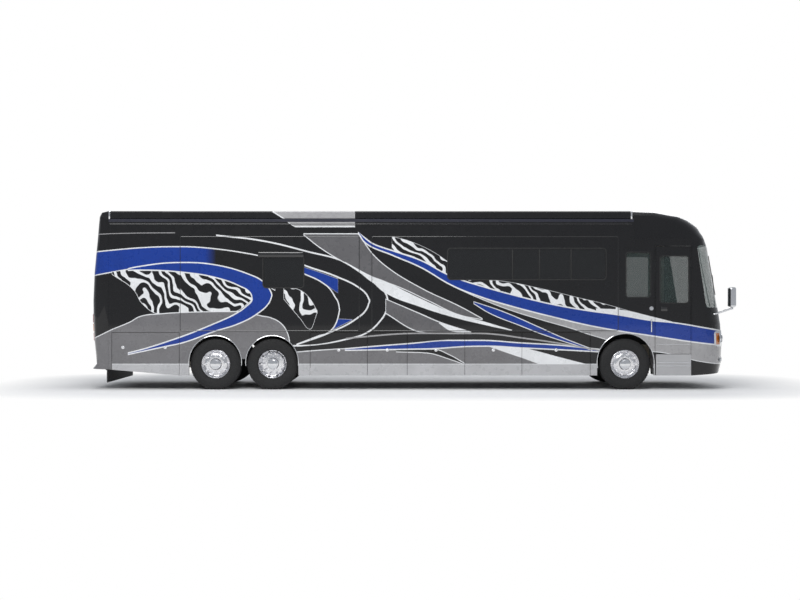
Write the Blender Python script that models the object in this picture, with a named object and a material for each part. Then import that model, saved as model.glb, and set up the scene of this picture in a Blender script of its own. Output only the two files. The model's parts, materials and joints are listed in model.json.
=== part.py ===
"""A three-axle coach motorhome with slide-out rooms, bay doors and an engine at the rear.

Metres, +X towards the nose, +Y to the driver's side, +Z up. The origin is on the ground
under the middle of the coach. The entry door is on the right side of the vehicle, at -Y.
Every outline is written in named sizes, or in shares of the sizes that it follows.
"""
import math

import bmesh
import bpy
from mathutils import Matrix, Vector
from mathutils.geometry import delaunay_2d_cdt

RIGHT, LEFT = -1, 1
CDT_INSIDE = 1
CDT_MERGE = 1e-7

# Clearances
SEAT_GAP = 0.0003
DOOR_GAP = 0.008
OVERRUN = 0.05

# The shell
HALF_WIDTH = 1.275
WALL_THICKNESS = 0.06
SKIRT_BOTTOM = 0.30
TAIL_SKIRT_RISE = 0.127
WALL_BASE = 1.21
WALL_TOP = 3.54
CROWN_TOP = 3.79
REAR_SEAM = -6.36
FRONT_SEAM = 5.955
NOSE_REACH = 0.835
TAIL_REACH = 0.43
BROW_RUN = 1.228
BROW_BASE = 3.20

# The nose and the tail, rib by rib from the skirt to the roof. Each row is the rib's side
# end and its middle, as (forward, height) shares, and then how square the rib is in plan.
# A forward share below zero runs back along the brow, and heights share SKIRT_BOTTOM to CROWN_TOP.
NOSE_RIB_SHARES = (
    (0.0, 0.0, 0.890, 0.013, 3.2),
    (0.0, 0.060, 0.952, 0.062, 3.2),
    (0.0, 0.160, 1.000, 0.160, 3.0),
    (0.0, 0.234, 0.988, 0.234, 3.0),
    (0.0, 0.308, 0.964, 0.308, 3.0),
    (0.0, 0.385, 0.904, 0.385, 3.0),
    (0.0, 0.500, 0.800, 0.500, 3.0),
    (0.0, 0.595, 0.721, 0.595, 3.0),
    (0.0, 0.690, 0.641, 0.690, 3.0),
    (0.0, 0.760, 0.581, 0.777, 3.0),
    (0.0, 0.831, 0.485, 0.826, 3.0),
    (-0.06, 0.831, 0.449, 0.851, 3.1),
    (-0.14, 0.831, 0.377, 0.876, 3.3),
    (-0.24, 0.831, 0.317, 0.900, 3.6),
    (-0.36, 0.831, 0.186, 0.925, 4.2),
    (-0.50, 0.831, 0.006, 0.950, 5.0),
    (-0.66, 0.831, -0.167, 0.974, 6.2),
    (-0.84, 0.831, -0.615, 0.998, 8.0),
    (-1.0, 0.831, -1.0, 1.0, 10.0),
)
TAIL_RIB_SHARES = (
    (0.0, 0.0364, 1.000, 0.040, 5.0),
    (0.0, 0.068, 0.784, 0.068, 5.0),
    (0.0, 0.116, 0.823, 0.116, 5.0),
    (0.0, 0.213, 0.916, 0.213, 5.0),
    (0.0, 0.335, 0.967, 0.335, 5.0),
    (0.0, 0.456, 0.977, 0.456, 5.0),
    (0.0, 0.627, 0.912, 0.627, 5.0),
    (0.0, 0.724, 0.828, 0.724, 5.0),
    (0.0, 0.821, 0.733, 0.821, 5.0),
    (0.0, 0.890, 0.640, 0.917, 5.5),
    (0.0, 0.920, 0.558, 0.967, 7.0),
    (0.0, 0.936, 0.407, 0.991, 9.0),
    (0.0, 0.951, 0.0, 1.0, 12.0),
)
ACROSS_SHARES = (0.0, 0.25, 0.5, 0.7, 0.82, 0.9, 0.95, 0.982, 1.0)

# Axles and wheels
FRONT_AXLE = 4.55
WHEELBASE = 7.46
TAG_SPACING = 1.20
TYRE_RADIUS = 0.536
TYRE_HALF_WIDTH = 0.155
TYRE_PLACE = 1.08
DUAL_OFFSET = 0.17
RIM_RADIUS = 0.302
RIM_HALF_WIDTH = 0.127
FLANGE_DEPTH = 0.016
FLANGE_THICKNESS = 0.012
KINGPIN_PLACE = 0.93
WHEEL_SEGMENTS = 24

# Wheel openings in the side walls
ARCH_HEIGHT = 0.585
FRONT_ARCH_RADIUS = 0.60
REAR_ARCH_RADIUS = 0.555
REAR_ARCH_LOBE = 0.648
TAG_POST = 0.20
DRIVE_POST = 0.25
FRONT_POST = 0.145
ENGINE_DOOR_MARGIN = 0.063
ENTRY_REAR_POST = 0.02
ENTRY_FRONT_POST = 0.02

# Doors and windows
DOOR_THICKNESS = 0.05
PIN_RADIUS = 0.006
PIN_INSET = 0.03
PIN_DEPTH = 0.010
BAY_SHARES = (0.204, 0.1425, 0.2056, 0.204, 0.2439)
LEFT_DOOR_BAYS = (0, 2, 4)
ENTRY_SILL = 0.754
ENTRY_HEAD = 3.035
CAB_GLASS_THICKNESS = 0.008
SCREEN_THICKNESS = 0.012
SCREEN_INSET = 0.003
PANE_RADIUS = 0.06
ENTRY_WINDOW_REAR_MARGIN = 0.098
ENTRY_WINDOW_FRONT_MARGIN = 0.042
ENTRY_WINDOW_SILL = 1.83
ENTRY_WINDOW_HEAD = 2.82
CAB_WINDOW_SILL = 1.95
CAB_WINDOW_HEAD = 2.90
CAB_WINDOW_BACKSET = 0.167
CAB_WINDOW_RIGHT_MARGIN = 0.09
CAB_WINDOW_LEFT_LENGTH = 1.04
SCREEN_SILL = 1.73
SCREEN_HEAD = 3.05
SCREEN_FOOT_SHARE = 0.372
SCREEN_TOP_SHARE = 0.125
LAMP_BASE = 0.90
LAMP_TOP = 1.24
LAMP_INNER = 0.78
LAMP_OUTER = 1.17
LAMP_PROUD = 0.012
LAMP_DEPTH = 0.05

# Slide-out rooms: spans as shares of the wall between the tail seam and the brow
RIGHT_SLIDE_SHARES = ((0.1360, 0.4776), (0.5007, 0.9703))
LEFT_SLIDE_SHARES = ((0.1407, 0.8713),)
SLIDE_BASE = 1.239
SLIDE_TOP = 3.237
FASCIA_PROUD = 0.012
FASCIA_LAP = 0.025
SLIDE_CLEARANCE = 0.008
SLIDE_WALL = 0.04
SLIDE_DEPTH = 0.94
# Each window: span as shares of its room's length, then sill and head as shares of its height
REAR_ROOM_WINDOW_SHARES = (0.4625, 0.690, 0.456, 0.797)
FRONT_ROOM_WINDOW_SHARES = (0.308, 0.950, 0.542, 0.873)
LEFT_ROOM_WINDOW_SHARES = (0.30, 0.62, 0.50, 0.85)

# Frame, floors and what stands on them
RAIL_INNER = 0.39
RAIL_OUTER = 0.47
RAIL_DEPTH = 0.28
RAIL_TAIL = -6.42
RAIL_NOSE = 6.05
CROSS_MEMBER_WIDTH = 0.10
CROSS_MEMBER_SHARES = (0.0, 0.135, 0.24, 0.36, 0.50, 0.64, 0.78, 0.92, 1.0)
FLOOR_BOTTOM = 1.20
FLOOR_THICKNESS = 0.05
TRAY_THICKNESS = 0.04
BULKHEAD_THICKNESS = 0.03
TRAY_HALF_WIDTH = 1.205
STEP_WELL_INNER = 0.75
FLOOR_NOSE = 6.28
FLOOR_NOSE_HALF_WIDTH = 1.02
SPRING_RADIUS = 0.10
BEAM_HALF_WIDTH = 0.05
BEAM_HALF_HEIGHT = 0.06
BOSS_RADIUS = 0.05
BOSS_HALF_HEIGHT = 0.085
YOKE_CLEARANCE = 0.007
YOKE_THICKNESS = 0.035
EAR_THICKNESS = 0.04
EAR_REACH = 0.05
SPINDLE_RADIUS = 0.04
HUB_BACK = 0.02
DUAL_HUB_BACK = 0.035
AXLE_TUBE_RADIUS = 0.07
DIFFERENTIAL_RADIUS = 0.20
DIFFERENTIAL_HALF_WIDTH = 0.14
DIFFERENTIAL_SLOPE = 0.16
RECEIVER_SIZE = 0.076
RECEIVER_BORE = 0.0508
RECEIVER_HEIGHT = 0.372
RECEIVER_REACH = 0.33
RECEIVER_HANGER = 0.045
RECEIVER_CLEARANCE = 0.012
ENGINE_BOTTOM = 0.55
ENGINE_DROP = 0.012
ENGINE_TAIL_MARGIN = 0.02

# Roof, awning and the things hung on the outside
ROOF_SIDE_THICKNESS = 0.06
ROOF_THICKNESS = 0.05
AWNING_BASE = 3.605
AWNING_TOP = 3.77
AWNING_DEPTH = 0.115
AWNING_ROUND = 0.02
AWNING_FRONT_GAP = 0.035
COOLER_SHARES = (0.24, 0.55, 0.86)
COOLER_LENGTH = 0.95
COOLER_WIDTH = 0.56
COOLER_HEIGHT = 0.055
COOLER_SLOPE = 0.10
HATCH_BASE = 0.62
HATCH_TOP = 1.72
HATCH_HALF_WIDTH = 0.85
HATCH_RADIUS = 0.03
HATCH_GAP = 0.010
HATCH_THICKNESS = 0.045
HATCH_PIN_INSET = 0.045
HATCH_PIN_DEPTH = 0.018
GUARD_BOTTOM = 0.14
GUARD_TOP = 0.415
GUARD_HALF_WIDTH = 1.12
GUARD_THICKNESS = 0.015
MIRROR_ROOT = (6.43, 1.11, 1.58)
MIRROR_ELBOW = (6.78, 1.34, 1.72)
MIRROR_ARM_RADIUS = 0.022
MIRROR_HEAD_LENGTH = 0.13
MIRROR_HEAD_WIDTH = 0.20
MIRROR_HEAD_HEIGHT = 0.42
MIRROR_BEVEL = 0.035
SEAT_WIDTH = 0.54
SEAT_HEIGHT = 0.50
SEAT_DEPTH = 0.55
SEAT_BACK_HEIGHT = 1.20
SEAT_BACK_THICKNESS = 0.14
SEAT_CUSHION = 0.14
SEAT_POST_SHARES = (0.30, 0.75)
SEAT_PLACE = 0.62
SEAT_TO_STEPS = 0.02
KNEE_ROOM = 0.37
DASH_REAR = 5.78
DASH_FRONT = 6.20
DASH_HEIGHT = 0.44
DASH_HALF_WIDTH = 0.98
DASH_SLOPE = 0.12

DRIVE_AXLE = FRONT_AXLE - WHEELBASE
TAG_AXLE = DRIVE_AXLE - TAG_SPACING
BROW_END = FRONT_SEAM - BROW_RUN
RAIL_TOP = FLOOR_BOTTOM - SEAT_GAP
RAIL_BOTTOM = RAIL_TOP - RAIL_DEPTH
FLOOR_TOP = FLOOR_BOTTOM + FLOOR_THICKNESS
INNER_WALL = HALF_WIDTH - WALL_THICKNESS
DUAL_PLACE = TYRE_PLACE - DUAL_OFFSET
ENGINE_DOOR_FRONT = TAG_AXLE - REAR_ARCH_RADIUS - TAG_POST
ENGINE_DOOR_REAR = REAR_SEAM + ENGINE_DOOR_MARGIN
BAY_START = DRIVE_AXLE + REAR_ARCH_RADIUS + DRIVE_POST
BAY_END = FRONT_AXLE - FRONT_ARCH_RADIUS - FRONT_POST
ENTRY_REAR = FRONT_AXLE + FRONT_ARCH_RADIUS + ENTRY_REAR_POST
ENTRY_FRONT = FRONT_SEAM - ENTRY_FRONT_POST
PASSENGER_SEAT_BACK = ENTRY_REAR - SEAT_TO_STEPS - SEAT_DEPTH
DRIVER_SEAT_BACK = DASH_REAR - KNEE_ROOM - SEAT_DEPTH
# Brings the middle of the coach, mirrors included, over the origin
ORIGIN_SHIFT = -(MIRROR_ELBOW[0] + MIRROR_HEAD_LENGTH / 2 + REAR_SEAM - TAIL_REACH) / 2

PAINTS = {
    "black": ((0.012, 0.012, 0.014), 0.2, 0.0),
    "blue": ((0.01, 0.035, 0.30), 0.2, 0.0),
    "grey": ((0.17, 0.17, 0.18), 0.3, 0.0),
    "silver": ((0.45, 0.45, 0.45), 0.35, 0.3),
    "navy": ((0.01, 0.015, 0.035), 0.3, 0.0),
    "white": ((0.75, 0.75, 0.74), 0.4, 0.0),
    "glass": ((0.02, 0.025, 0.03), 0.05, 0.0),
    "rubber": ((0.02, 0.02, 0.02), 0.85, 0.0),
    "alloy": ((0.75, 0.75, 0.76), 0.15, 1.0),
    "steel": ((0.08, 0.08, 0.08), 0.6, 0.4),
    "trim": ((0.03, 0.03, 0.03), 0.6, 0.0),
    "lamp": ((0.7, 0.72, 0.75), 0.1, 0.0),
    "leather": ((0.35, 0.27, 0.20), 0.6, 0.0),
}


def clear_scene():
    for thing in list(bpy.data.objects):
        bpy.data.objects.remove(thing)


def paint(name):
    """The material of one finish, made once."""
    known = bpy.data.materials.get(name)
    if known:
        return known
    colour, roughness, metallic = PAINTS[name]
    material = bpy.data.materials.new(name)
    material.use_nodes = True
    shader = material.node_tree.nodes["Principled BSDF"]
    shader.inputs["Base Color"].default_value = (*colour, 1)
    shader.inputs["Roughness"].default_value = roughness
    shader.inputs["Metallic"].default_value = metallic
    return material


def node(name, shape, finish, pivot=(0, 0, 0), parent=None, smooth_degrees=30):
    """Turn a bmesh into a named object whose origin is at its pivot."""
    mesh = bpy.data.meshes.new(name)
    shape.to_mesh(mesh)
    shape.free()
    mesh.transform(Matrix.Translation(-Vector(pivot)))
    mesh.materials.append(paint(finish))
    mesh.shade_smooth()
    mesh.set_sharp_from_angle(angle=math.radians(smooth_degrees))
    thing = bpy.data.objects.new(name, mesh)
    thing.location = Vector(pivot) + Vector((ORIGIN_SHIFT, 0, 0))
    bpy.context.collection.objects.link(thing)
    if parent:
        thing.parent = parent
        thing.matrix_parent_inverse = Matrix.Translation(-parent.location)
    return thing


def arc(centre, radius, start_degrees, end_degrees, steps):
    """Points along an arc, both ends included."""
    turns = (math.radians(start_degrees + (end_degrees - start_degrees) * i / steps) for i in range(steps + 1))
    return [(centre[0] + radius * math.cos(turn), centre[1] + radius * math.sin(turn)) for turn in turns]


def rounded(corners, radius, steps=3):
    """A convex outline with each corner turned into an arc."""
    outline = []
    for i, corner in enumerate(corners):
        here = Vector(corner)
        before = (Vector(corners[i - 1]) - here).normalized()
        after = (Vector(corners[(i + 1) % len(corners)]) - here).normalized()
        half = before.angle(after) / 2
        middle = here + (before + after).normalized() * (radius / math.sin(half))
        start = (here + before * (radius / math.tan(half)) - middle).normalized()
        end = (here + after * (radius / math.tan(half)) - middle).normalized()
        for step in range(steps + 1):
            outline.append(tuple(middle + start.slerp(end, step / steps) * radius))
    return outline


def rectangle(low, high, base, top, inset=0):
    """The corners of an upright rectangle, drawn in by an inset."""
    low, high, base, top = low + inset, high - inset, base + inset, top - inset
    return [(low, base), (high, base), (high, top), (low, top)]


def spread(axis, first, second, along):
    """A point from its two places in an outline and its place along the axis."""
    return {"x": (along, first, second), "y": (first, along, second), "z": (first, second, along)}[axis]


def anticlockwise(loop):
    """The same outline, turned if need be so that it runs anticlockwise."""
    twice_area = sum(loop[i - 1][0] * loop[i][1] - loop[i][0] * loop[i - 1][1] for i in range(len(loop)))
    return list(loop) if twice_area > 0 else list(reversed(loop))


def prism(outline, axis, low, high, holes=()):
    """A solid of one outline, with holes through it, between two planes across an axis."""
    shape = bmesh.new()
    points, loops = [], []
    for loop in map(anticlockwise, (outline, *holes)):
        loops.append(list(range(len(points), len(points) + len(loop))))
        points += [Vector(point) for point in loop]
    points, _, triangles, sources, _, owners = delaunay_2d_cdt(points, [], loops, CDT_INSIDE, CDT_MERGE)
    triangles = [corners for corners, inside in zip(triangles, owners) if inside == [0]]
    place = {source: i for i, group in enumerate(sources) for source in group}
    levels = [[shape.verts.new(spread(axis, *point, level)) for point in points] for level in (low, high)]
    for corners in triangles:
        for verts in levels:
            shape.faces.new([verts[corner] for corner in corners])
    for loop in loops:
        for i in range(len(loop)):
            here, there = place[loop[i - 1]], place[loop[i]]
            shape.faces.new((levels[0][here], levels[0][there], levels[1][there], levels[1][here]))
    bmesh.ops.recalc_face_normals(shape, faces=shape.faces)
    return shape


def lathe(profile, centre, outward, segments=WHEEL_SEGMENTS):
    """Turn (radius, offset) points about a line across the coach, with a flat at the bottom.

    The radii are those of the flats. A profile that starts and ends on the line is closed there.
    """
    shape = bmesh.new()
    stretch = 1 / math.cos(math.pi / segments)
    rings = []
    for radius, offset in profile:
        across = centre[1] + outward * offset
        if radius == 0:
            rings.append([shape.verts.new((centre[0], across, centre[2]))] * segments)
            continue
        ring = []
        for i in range(segments):
            turn = 2 * math.pi * (i + 0.5) / segments - math.pi / 2
            reach = radius * stretch
            ring.append(shape.verts.new((
                centre[0] + reach * math.cos(turn), across, centre[2] + reach * math.sin(turn))))
        rings.append(ring)
    for here, there in zip(rings, rings[1:] + rings[:1]):
        for i in range(segments):
            j = (i + 1) % segments
            corners = list(dict.fromkeys((here[i], here[j], there[j], there[i])))
            if len(corners) > 2:
                shape.faces.new(corners)
    bmesh.ops.recalc_face_normals(shape, faces=shape.faces)
    return shape


def pin(start, end, radius, segments=12):
    """A round bar between two points."""
    start, end = Vector(start), Vector(end)
    shape = bmesh.new()
    turn = (end - start).to_track_quat("Z", "X").to_matrix().to_4x4()
    bmesh.ops.create_cone(
        shape, cap_ends=True, segments=segments, radius1=radius, radius2=radius,
        depth=(end - start).length, matrix=Matrix.Translation((start + end) / 2) @ turn)
    return shape


def combine(shape, tool, operation):
    """One bmesh from a Boolean of two."""
    pair = []
    for name, part in (("shape", shape), ("tool", tool)):
        mesh = bpy.data.meshes.new(name)
        part.to_mesh(mesh)
        part.free()
        thing = bpy.data.objects.new(name, mesh)
        bpy.context.collection.objects.link(thing)
        pair.append(thing)
    modifier = pair[0].modifiers.new("combine", "BOOLEAN")
    modifier.operation = operation
    modifier.object = pair[1]
    bpy.context.view_layer.update()
    result = bmesh.new()
    result.from_mesh(pair[0].evaluated_get(bpy.context.evaluated_depsgraph_get()).to_mesh())
    for thing in pair:
        mesh = thing.data
        bpy.data.objects.remove(thing)
        bpy.data.meshes.remove(mesh)
    return result


def join(*shapes):
    """Bodies that lie apart, gathered into one bmesh to serve as a single tool."""
    result = bmesh.new()
    for shape in shapes:
        mesh = bpy.data.meshes.new("gathered")
        shape.to_mesh(mesh)
        shape.free()
        result.from_mesh(mesh)
        bpy.data.meshes.remove(mesh)
    return result


def union(shape, *tools):
    for tool in tools:
        shape = combine(shape, tool, "UNION")
    return shape


def cut(shape, *tools):
    for tool in tools:
        shape = combine(shape, tool, "DIFFERENCE")
    return shape


def rib_lines(rib_shares, seam, reach, run, facing):
    """Each rib's side end and middle as (x, z) vectors, with its squareness."""
    height = CROWN_TOP - SKIRT_BOTTOM

    def place(forward, up):
        return Vector((seam + facing * forward * (reach if forward > 0 else run), SKIRT_BOTTOM + height * up))

    return [(place(*row[:2]), place(*row[2:4]), row[4]) for row in rib_shares]


NOSE_RIBS = rib_lines(NOSE_RIB_SHARES, FRONT_SEAM, NOSE_REACH, BROW_RUN, 1)
TAIL_RIBS = rib_lines(TAIL_RIB_SHARES, REAR_SEAM, TAIL_REACH, TAIL_REACH, -1)


def cap_grid(ribs, inset):
    """Rows of points over a cap, drawn in from its outside by an inset."""
    facing = 1 if ribs[0][1].x > ribs[0][0].x else -1
    rows = []
    for i, (side, crown, squareness) in enumerate(ribs):
        along = (ribs[min(i + 1, len(ribs) - 1)][1] - ribs[max(i - 1, 0)][1]).normalized()
        normal = Vector((along.y, -along.x)) * facing
        middle = crown - normal * inset
        if i in (0, len(ribs) - 1):
            middle = crown - (Vector((facing, 0)) if i == 0 else Vector((0, 1))) * inset
        row = []
        for share in (*[-share for share in reversed(ACROSS_SHARES[1:])], *ACROSS_SHARES):
            bulge = (1 - abs(share) ** squareness) ** (1 / squareness)
            place = side + (middle - side) * bulge
            row.append((place.x, share * (HALF_WIDTH - inset), place.y))
        rows.append(row)
    return rows


def cap_shell(ribs, outer_inset, inner_inset):
    """A closed shell between two layers of a cap."""
    shape = bmesh.new()
    layers = [[[shape.verts.new(point) for point in row] for row in cap_grid(ribs, inset)]
              for inset in (outer_inset, inner_inset)]
    last_row, last_column = len(ribs) - 1, len(layers[0][0]) - 1
    for layer in layers:
        for i in range(last_row):
            for j in range(last_column):
                shape.faces.new((layer[i][j], layer[i + 1][j], layer[i + 1][j + 1], layer[i][j + 1]))
    outer, inner = layers
    for j in range(last_column):
        for i in (0, last_row):
            shape.faces.new((outer[i][j], outer[i][j + 1], inner[i][j + 1], inner[i][j]))
    for i in range(last_row):
        for j in (0, last_column):
            shape.faces.new((outer[i][j], outer[i + 1][j], inner[i + 1][j], inner[i][j]))
    bmesh.ops.triangulate(shape, faces=shape.faces)
    bmesh.ops.recalc_face_normals(shape, faces=shape.faces)
    return shape


def screen_outline(inset):
    """The windscreen's opening from the side, open at the front."""
    foot = FRONT_SEAM + NOSE_REACH * SCREEN_FOOT_SHARE + inset
    top = FRONT_SEAM + NOSE_REACH * SCREEN_TOP_SHARE + inset
    clear = FRONT_SEAM + NOSE_REACH + OVERRUN
    corners = [(foot, SCREEN_SILL + inset), (clear, SCREEN_SILL + inset),
               (clear, SCREEN_HEAD - inset), (top, SCREEN_HEAD - inset)]
    return rounded(corners, PANE_RADIUS)


def screen_block(inset):
    return prism(screen_outline(inset), "y", -HALF_WIDTH, HALF_WIDTH)


def lamp_block(side, inset):
    """The block that a headlamp is cut from, seen from the front."""
    inner, outer = sorted((side * LAMP_INNER, side * LAMP_OUTER))
    outline = rounded(rectangle(inner, outer, LAMP_BASE, LAMP_TOP, inset), PANE_RADIUS)
    return prism(outline, "x", FRONT_SEAM, FRONT_SEAM + NOSE_REACH + OVERRUN)


def hatch_block(inset):
    outline = rounded(rectangle(-HATCH_HALF_WIDTH, HATCH_HALF_WIDTH, HATCH_BASE, HATCH_TOP, inset), HATCH_RADIUS)
    return prism(outline, "x", REAR_SEAM - TAIL_REACH - OVERRUN, REAR_SEAM)


def bay_seams():
    """Where each luggage bay starts and ends along the coach."""
    seams = [BAY_START]
    for share in BAY_SHARES:
        seams.append(seams[-1] + (BAY_END - BAY_START) * share / sum(BAY_SHARES))
    return seams


def wheel_arch_path():
    """The lower edge of the wall over the two rear axles, from the tag post to the drive post."""
    lobe = math.degrees(math.asin((REAR_ARCH_LOBE - ARCH_HEIGHT) / REAR_ARCH_RADIUS))
    tag = arc((TAG_AXLE, ARCH_HEIGHT), REAR_ARCH_RADIUS, 180, lobe, 10)
    drive = arc((DRIVE_AXLE, ARCH_HEIGHT), REAR_ARCH_RADIUS, 180 - lobe, 0, 10)
    return [(tag[0][0], SKIRT_BOTTOM), *tag, *drive, (drive[-1][0], SKIRT_BOTTOM)]


def tail_skirt(place):
    """Height of the skirt behind the tag axle, which rises towards the tail."""
    return SKIRT_BOTTOM + TAIL_SKIRT_RISE * (ENGINE_DOOR_FRONT - place) / (ENGINE_DOOR_FRONT - REAR_SEAM)


def notch(low, high, base, top):
    """A door's place in the wall, open at the bottom, with the gap round the door."""
    return [(low, base), (low, top), (high, top), (high, base)]


def slide_span(shares):
    """Ends of a room's fascia along the wall."""
    length = BROW_END - REAR_SEAM
    return [REAR_SEAM + length * share for share in shares]


def slide_opening(shares):
    low, high = slide_span(shares)
    return rectangle(low, high, SLIDE_BASE, SLIDE_TOP, FASCIA_LAP)


def cab_window(side):
    """Ends and heights of the fixed pane beside the cab."""
    low = BROW_END - CAB_WINDOW_BACKSET
    high = ENTRY_REAR - CAB_WINDOW_RIGHT_MARGIN if side == RIGHT else low + CAB_WINDOW_LEFT_LENGTH
    return low, high, CAB_WINDOW_SILL, CAB_WINDOW_HEAD


def side_wall(side):
    """One side wall, with its arches, door notches, room openings and cab window."""
    seams = bay_seams()
    front_arch = arc((FRONT_AXLE, ARCH_HEIGHT), FRONT_ARCH_RADIUS, 180, 0, 12)
    path = [(REAR_SEAM + SEAT_GAP, tail_skirt(REAR_SEAM))]
    if side == RIGHT:
        low, high = ENGINE_DOOR_REAR, ENGINE_DOOR_FRONT
        path += [(low, tail_skirt(low)), (low, WALL_BASE), (high, WALL_BASE), (high, SKIRT_BOTTOM)]
        path += wheel_arch_path()
        path += notch(seams[0] - DOOR_GAP / 2, seams[-1] + DOOR_GAP / 2, SKIRT_BOTTOM, WALL_BASE)
    else:
        path += [(ENGINE_DOOR_FRONT, SKIRT_BOTTOM), *wheel_arch_path()]
        for bay in LEFT_DOOR_BAYS:
            path += notch(seams[bay] - DOOR_GAP / 2, seams[bay + 1] + DOOR_GAP / 2, SKIRT_BOTTOM, WALL_BASE)
    path += [(front_arch[0][0], SKIRT_BOTTOM), *front_arch, (front_arch[-1][0], SKIRT_BOTTOM)]
    if side == RIGHT:
        path += notch(ENTRY_REAR, ENTRY_FRONT, SKIRT_BOTTOM, ENTRY_HEAD)
    brow = BROW_BASE - SEAT_GAP
    path += [(FRONT_SEAM - SEAT_GAP, SKIRT_BOTTOM), (FRONT_SEAM - SEAT_GAP, brow), (BROW_END - SEAT_GAP, brow),
             (BROW_END - SEAT_GAP, WALL_TOP), (REAR_SEAM + SEAT_GAP, WALL_TOP)]
    rooms = RIGHT_SLIDE_SHARES if side == RIGHT else LEFT_SLIDE_SHARES
    holes = [slide_opening(shares) for shares in rooms]
    holes.append(rounded(rectangle(*cab_window(side)), PANE_RADIUS))
    return prism(path, "y", side * INNER_WALL, side * HALF_WIDTH, holes)


def cab_pane(side):
    outline = rounded(rectangle(*cab_window(side), SEAT_GAP), PANE_RADIUS)
    middle = HALF_WIDTH - WALL_THICKNESS / 2
    return prism(outline, "y", side * (middle - CAB_GLASS_THICKNESS / 2), side * (middle + CAB_GLASS_THICKNESS / 2))


def slide_window(shares, window_shares, inset=0):
    """A room's window, rounded, in the plane of its wall."""
    low, high = slide_span(shares)
    first, last, sill, head = window_shares
    tall = SLIDE_TOP - SLIDE_BASE
    corners = rectangle(low + (high - low) * first, low + (high - low) * last,
                        SLIDE_BASE + tall * sill, SLIDE_BASE + tall * head, inset)
    return rounded(corners, PANE_RADIUS)


def slide_room(side, shares, window_shares):
    """A room's fascia and its box, open to the inside, with the window cut."""
    low, high = slide_span(shares)
    back = HALF_WIDTH + SEAT_GAP
    front = HALF_WIDTH + FASCIA_PROUD
    ring = FASCIA_LAP + SLIDE_CLEARANCE
    fascia = prism(rectangle(low, high, SLIDE_BASE, SLIDE_TOP), "y", side * back, side * front)
    box = prism(rectangle(low, high, SLIDE_BASE, SLIDE_TOP, ring), "y",
                side * (HALF_WIDTH - SLIDE_DEPTH), side * (back + FASCIA_PROUD / 2))
    hollow = prism(rectangle(low, high, SLIDE_BASE, SLIDE_TOP, ring + SLIDE_WALL), "y",
                   side * (HALF_WIDTH - SLIDE_DEPTH - OVERRUN), side * (front - SLIDE_WALL))
    window = prism(slide_window(shares, window_shares), "y",
                   side * (front - SLIDE_WALL - OVERRUN), side * (front + OVERRUN))
    return cut(union(fascia, box), hollow, window)


def slide_pane(side, shares, window_shares):
    middle = HALF_WIDTH + FASCIA_PROUD - SLIDE_WALL / 2
    return prism(slide_window(shares, window_shares, SEAT_GAP), "y",
                 side * (middle - CAB_GLASS_THICKNESS / 2), side * (middle + CAB_GLASS_THICKNESS / 2))


def hinged_door(side, low, high, base, top, window=None):
    """A door hinged on its forward edge, its pin reaching up to the wall above."""
    outer, inner = side * HALF_WIDTH, side * (HALF_WIDTH - DOOR_THICKNESS)
    door = prism(rectangle(low, high, base, top), "y", inner, outer, [window] if window else ())
    axis = (high - PIN_INSET, side * (HALF_WIDTH - PIN_DEPTH))
    hinge = pin((*axis, top - OVERRUN), (*axis, top + DOOR_GAP - SEAT_GAP), PIN_RADIUS)
    return union(door, hinge), (*axis, base)


def bay_door(side, bay):
    seams = bay_seams()
    return hinged_door(side, seams[bay] + DOOR_GAP / 2, seams[bay + 1] - DOOR_GAP / 2,
                       SKIRT_BOTTOM, WALL_BASE - DOOR_GAP)


def engine_side_door():
    """The door behind the tag axle, hinged along its top edge."""
    low, high = ENGINE_DOOR_REAR + DOOR_GAP, ENGINE_DOOR_FRONT - DOOR_GAP
    top = WALL_BASE - DOOR_GAP
    outline = [(low, tail_skirt(low)), (high, tail_skirt(high)), (high, top), (low, top)]
    door = prism(outline, "y", -HALF_WIDTH, -(HALF_WIDTH - DOOR_THICKNESS))
    axis = (-(HALF_WIDTH - PIN_DEPTH), top - PIN_INSET)
    hinges = join(
        pin((low + OVERRUN, *axis), (low - DOOR_GAP + SEAT_GAP, *axis), PIN_RADIUS),
        pin((high - OVERRUN, *axis), (high + DOOR_GAP - SEAT_GAP, *axis), PIN_RADIUS))
    return union(door, hinges), ((low + high) / 2, *axis)


def engine_hatch():
    """The rear hatch, cut from the tail's own curve and hinged along its top edge."""
    panel = combine(cap_shell(TAIL_RIBS, 0, HATCH_THICKNESS), hatch_block(HATCH_GAP), "INTERSECT")
    height = HATCH_TOP - HATCH_GAP - HATCH_PIN_INSET
    crown = max((rib[1] for rib in TAIL_RIBS[2:]), key=lambda middle: -middle.x)
    place = crown.x + HATCH_PIN_DEPTH
    edge = HATCH_HALF_WIDTH - HATCH_GAP
    hinges = join(*[
        pin((place, side * (edge - OVERRUN), height), (place, side * (HATCH_HALF_WIDTH - SEAT_GAP), height),
            PIN_RADIUS) for side in (RIGHT, LEFT)])
    return union(panel, hinges), (place, 0, height)


def entry_door():
    low, high = ENTRY_REAR + DOOR_GAP, ENTRY_FRONT - DOOR_GAP
    return hinged_door(RIGHT, low, high, ENTRY_SILL, ENTRY_HEAD - DOOR_GAP, entry_window())


def entry_window(inset=0):
    low, high = ENTRY_REAR + DOOR_GAP, ENTRY_FRONT - DOOR_GAP
    corners = rectangle(low + ENTRY_WINDOW_REAR_MARGIN, high - ENTRY_WINDOW_FRONT_MARGIN,
                        ENTRY_WINDOW_SILL, ENTRY_WINDOW_HEAD, inset)
    return rounded(corners, PANE_RADIUS)


def entry_pane():
    middle = HALF_WIDTH - DOOR_THICKNESS / 2
    return prism(entry_window(SEAT_GAP), "y",
                 -(middle - CAB_GLASS_THICKNESS / 2), -(middle + CAB_GLASS_THICKNESS / 2))


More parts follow.
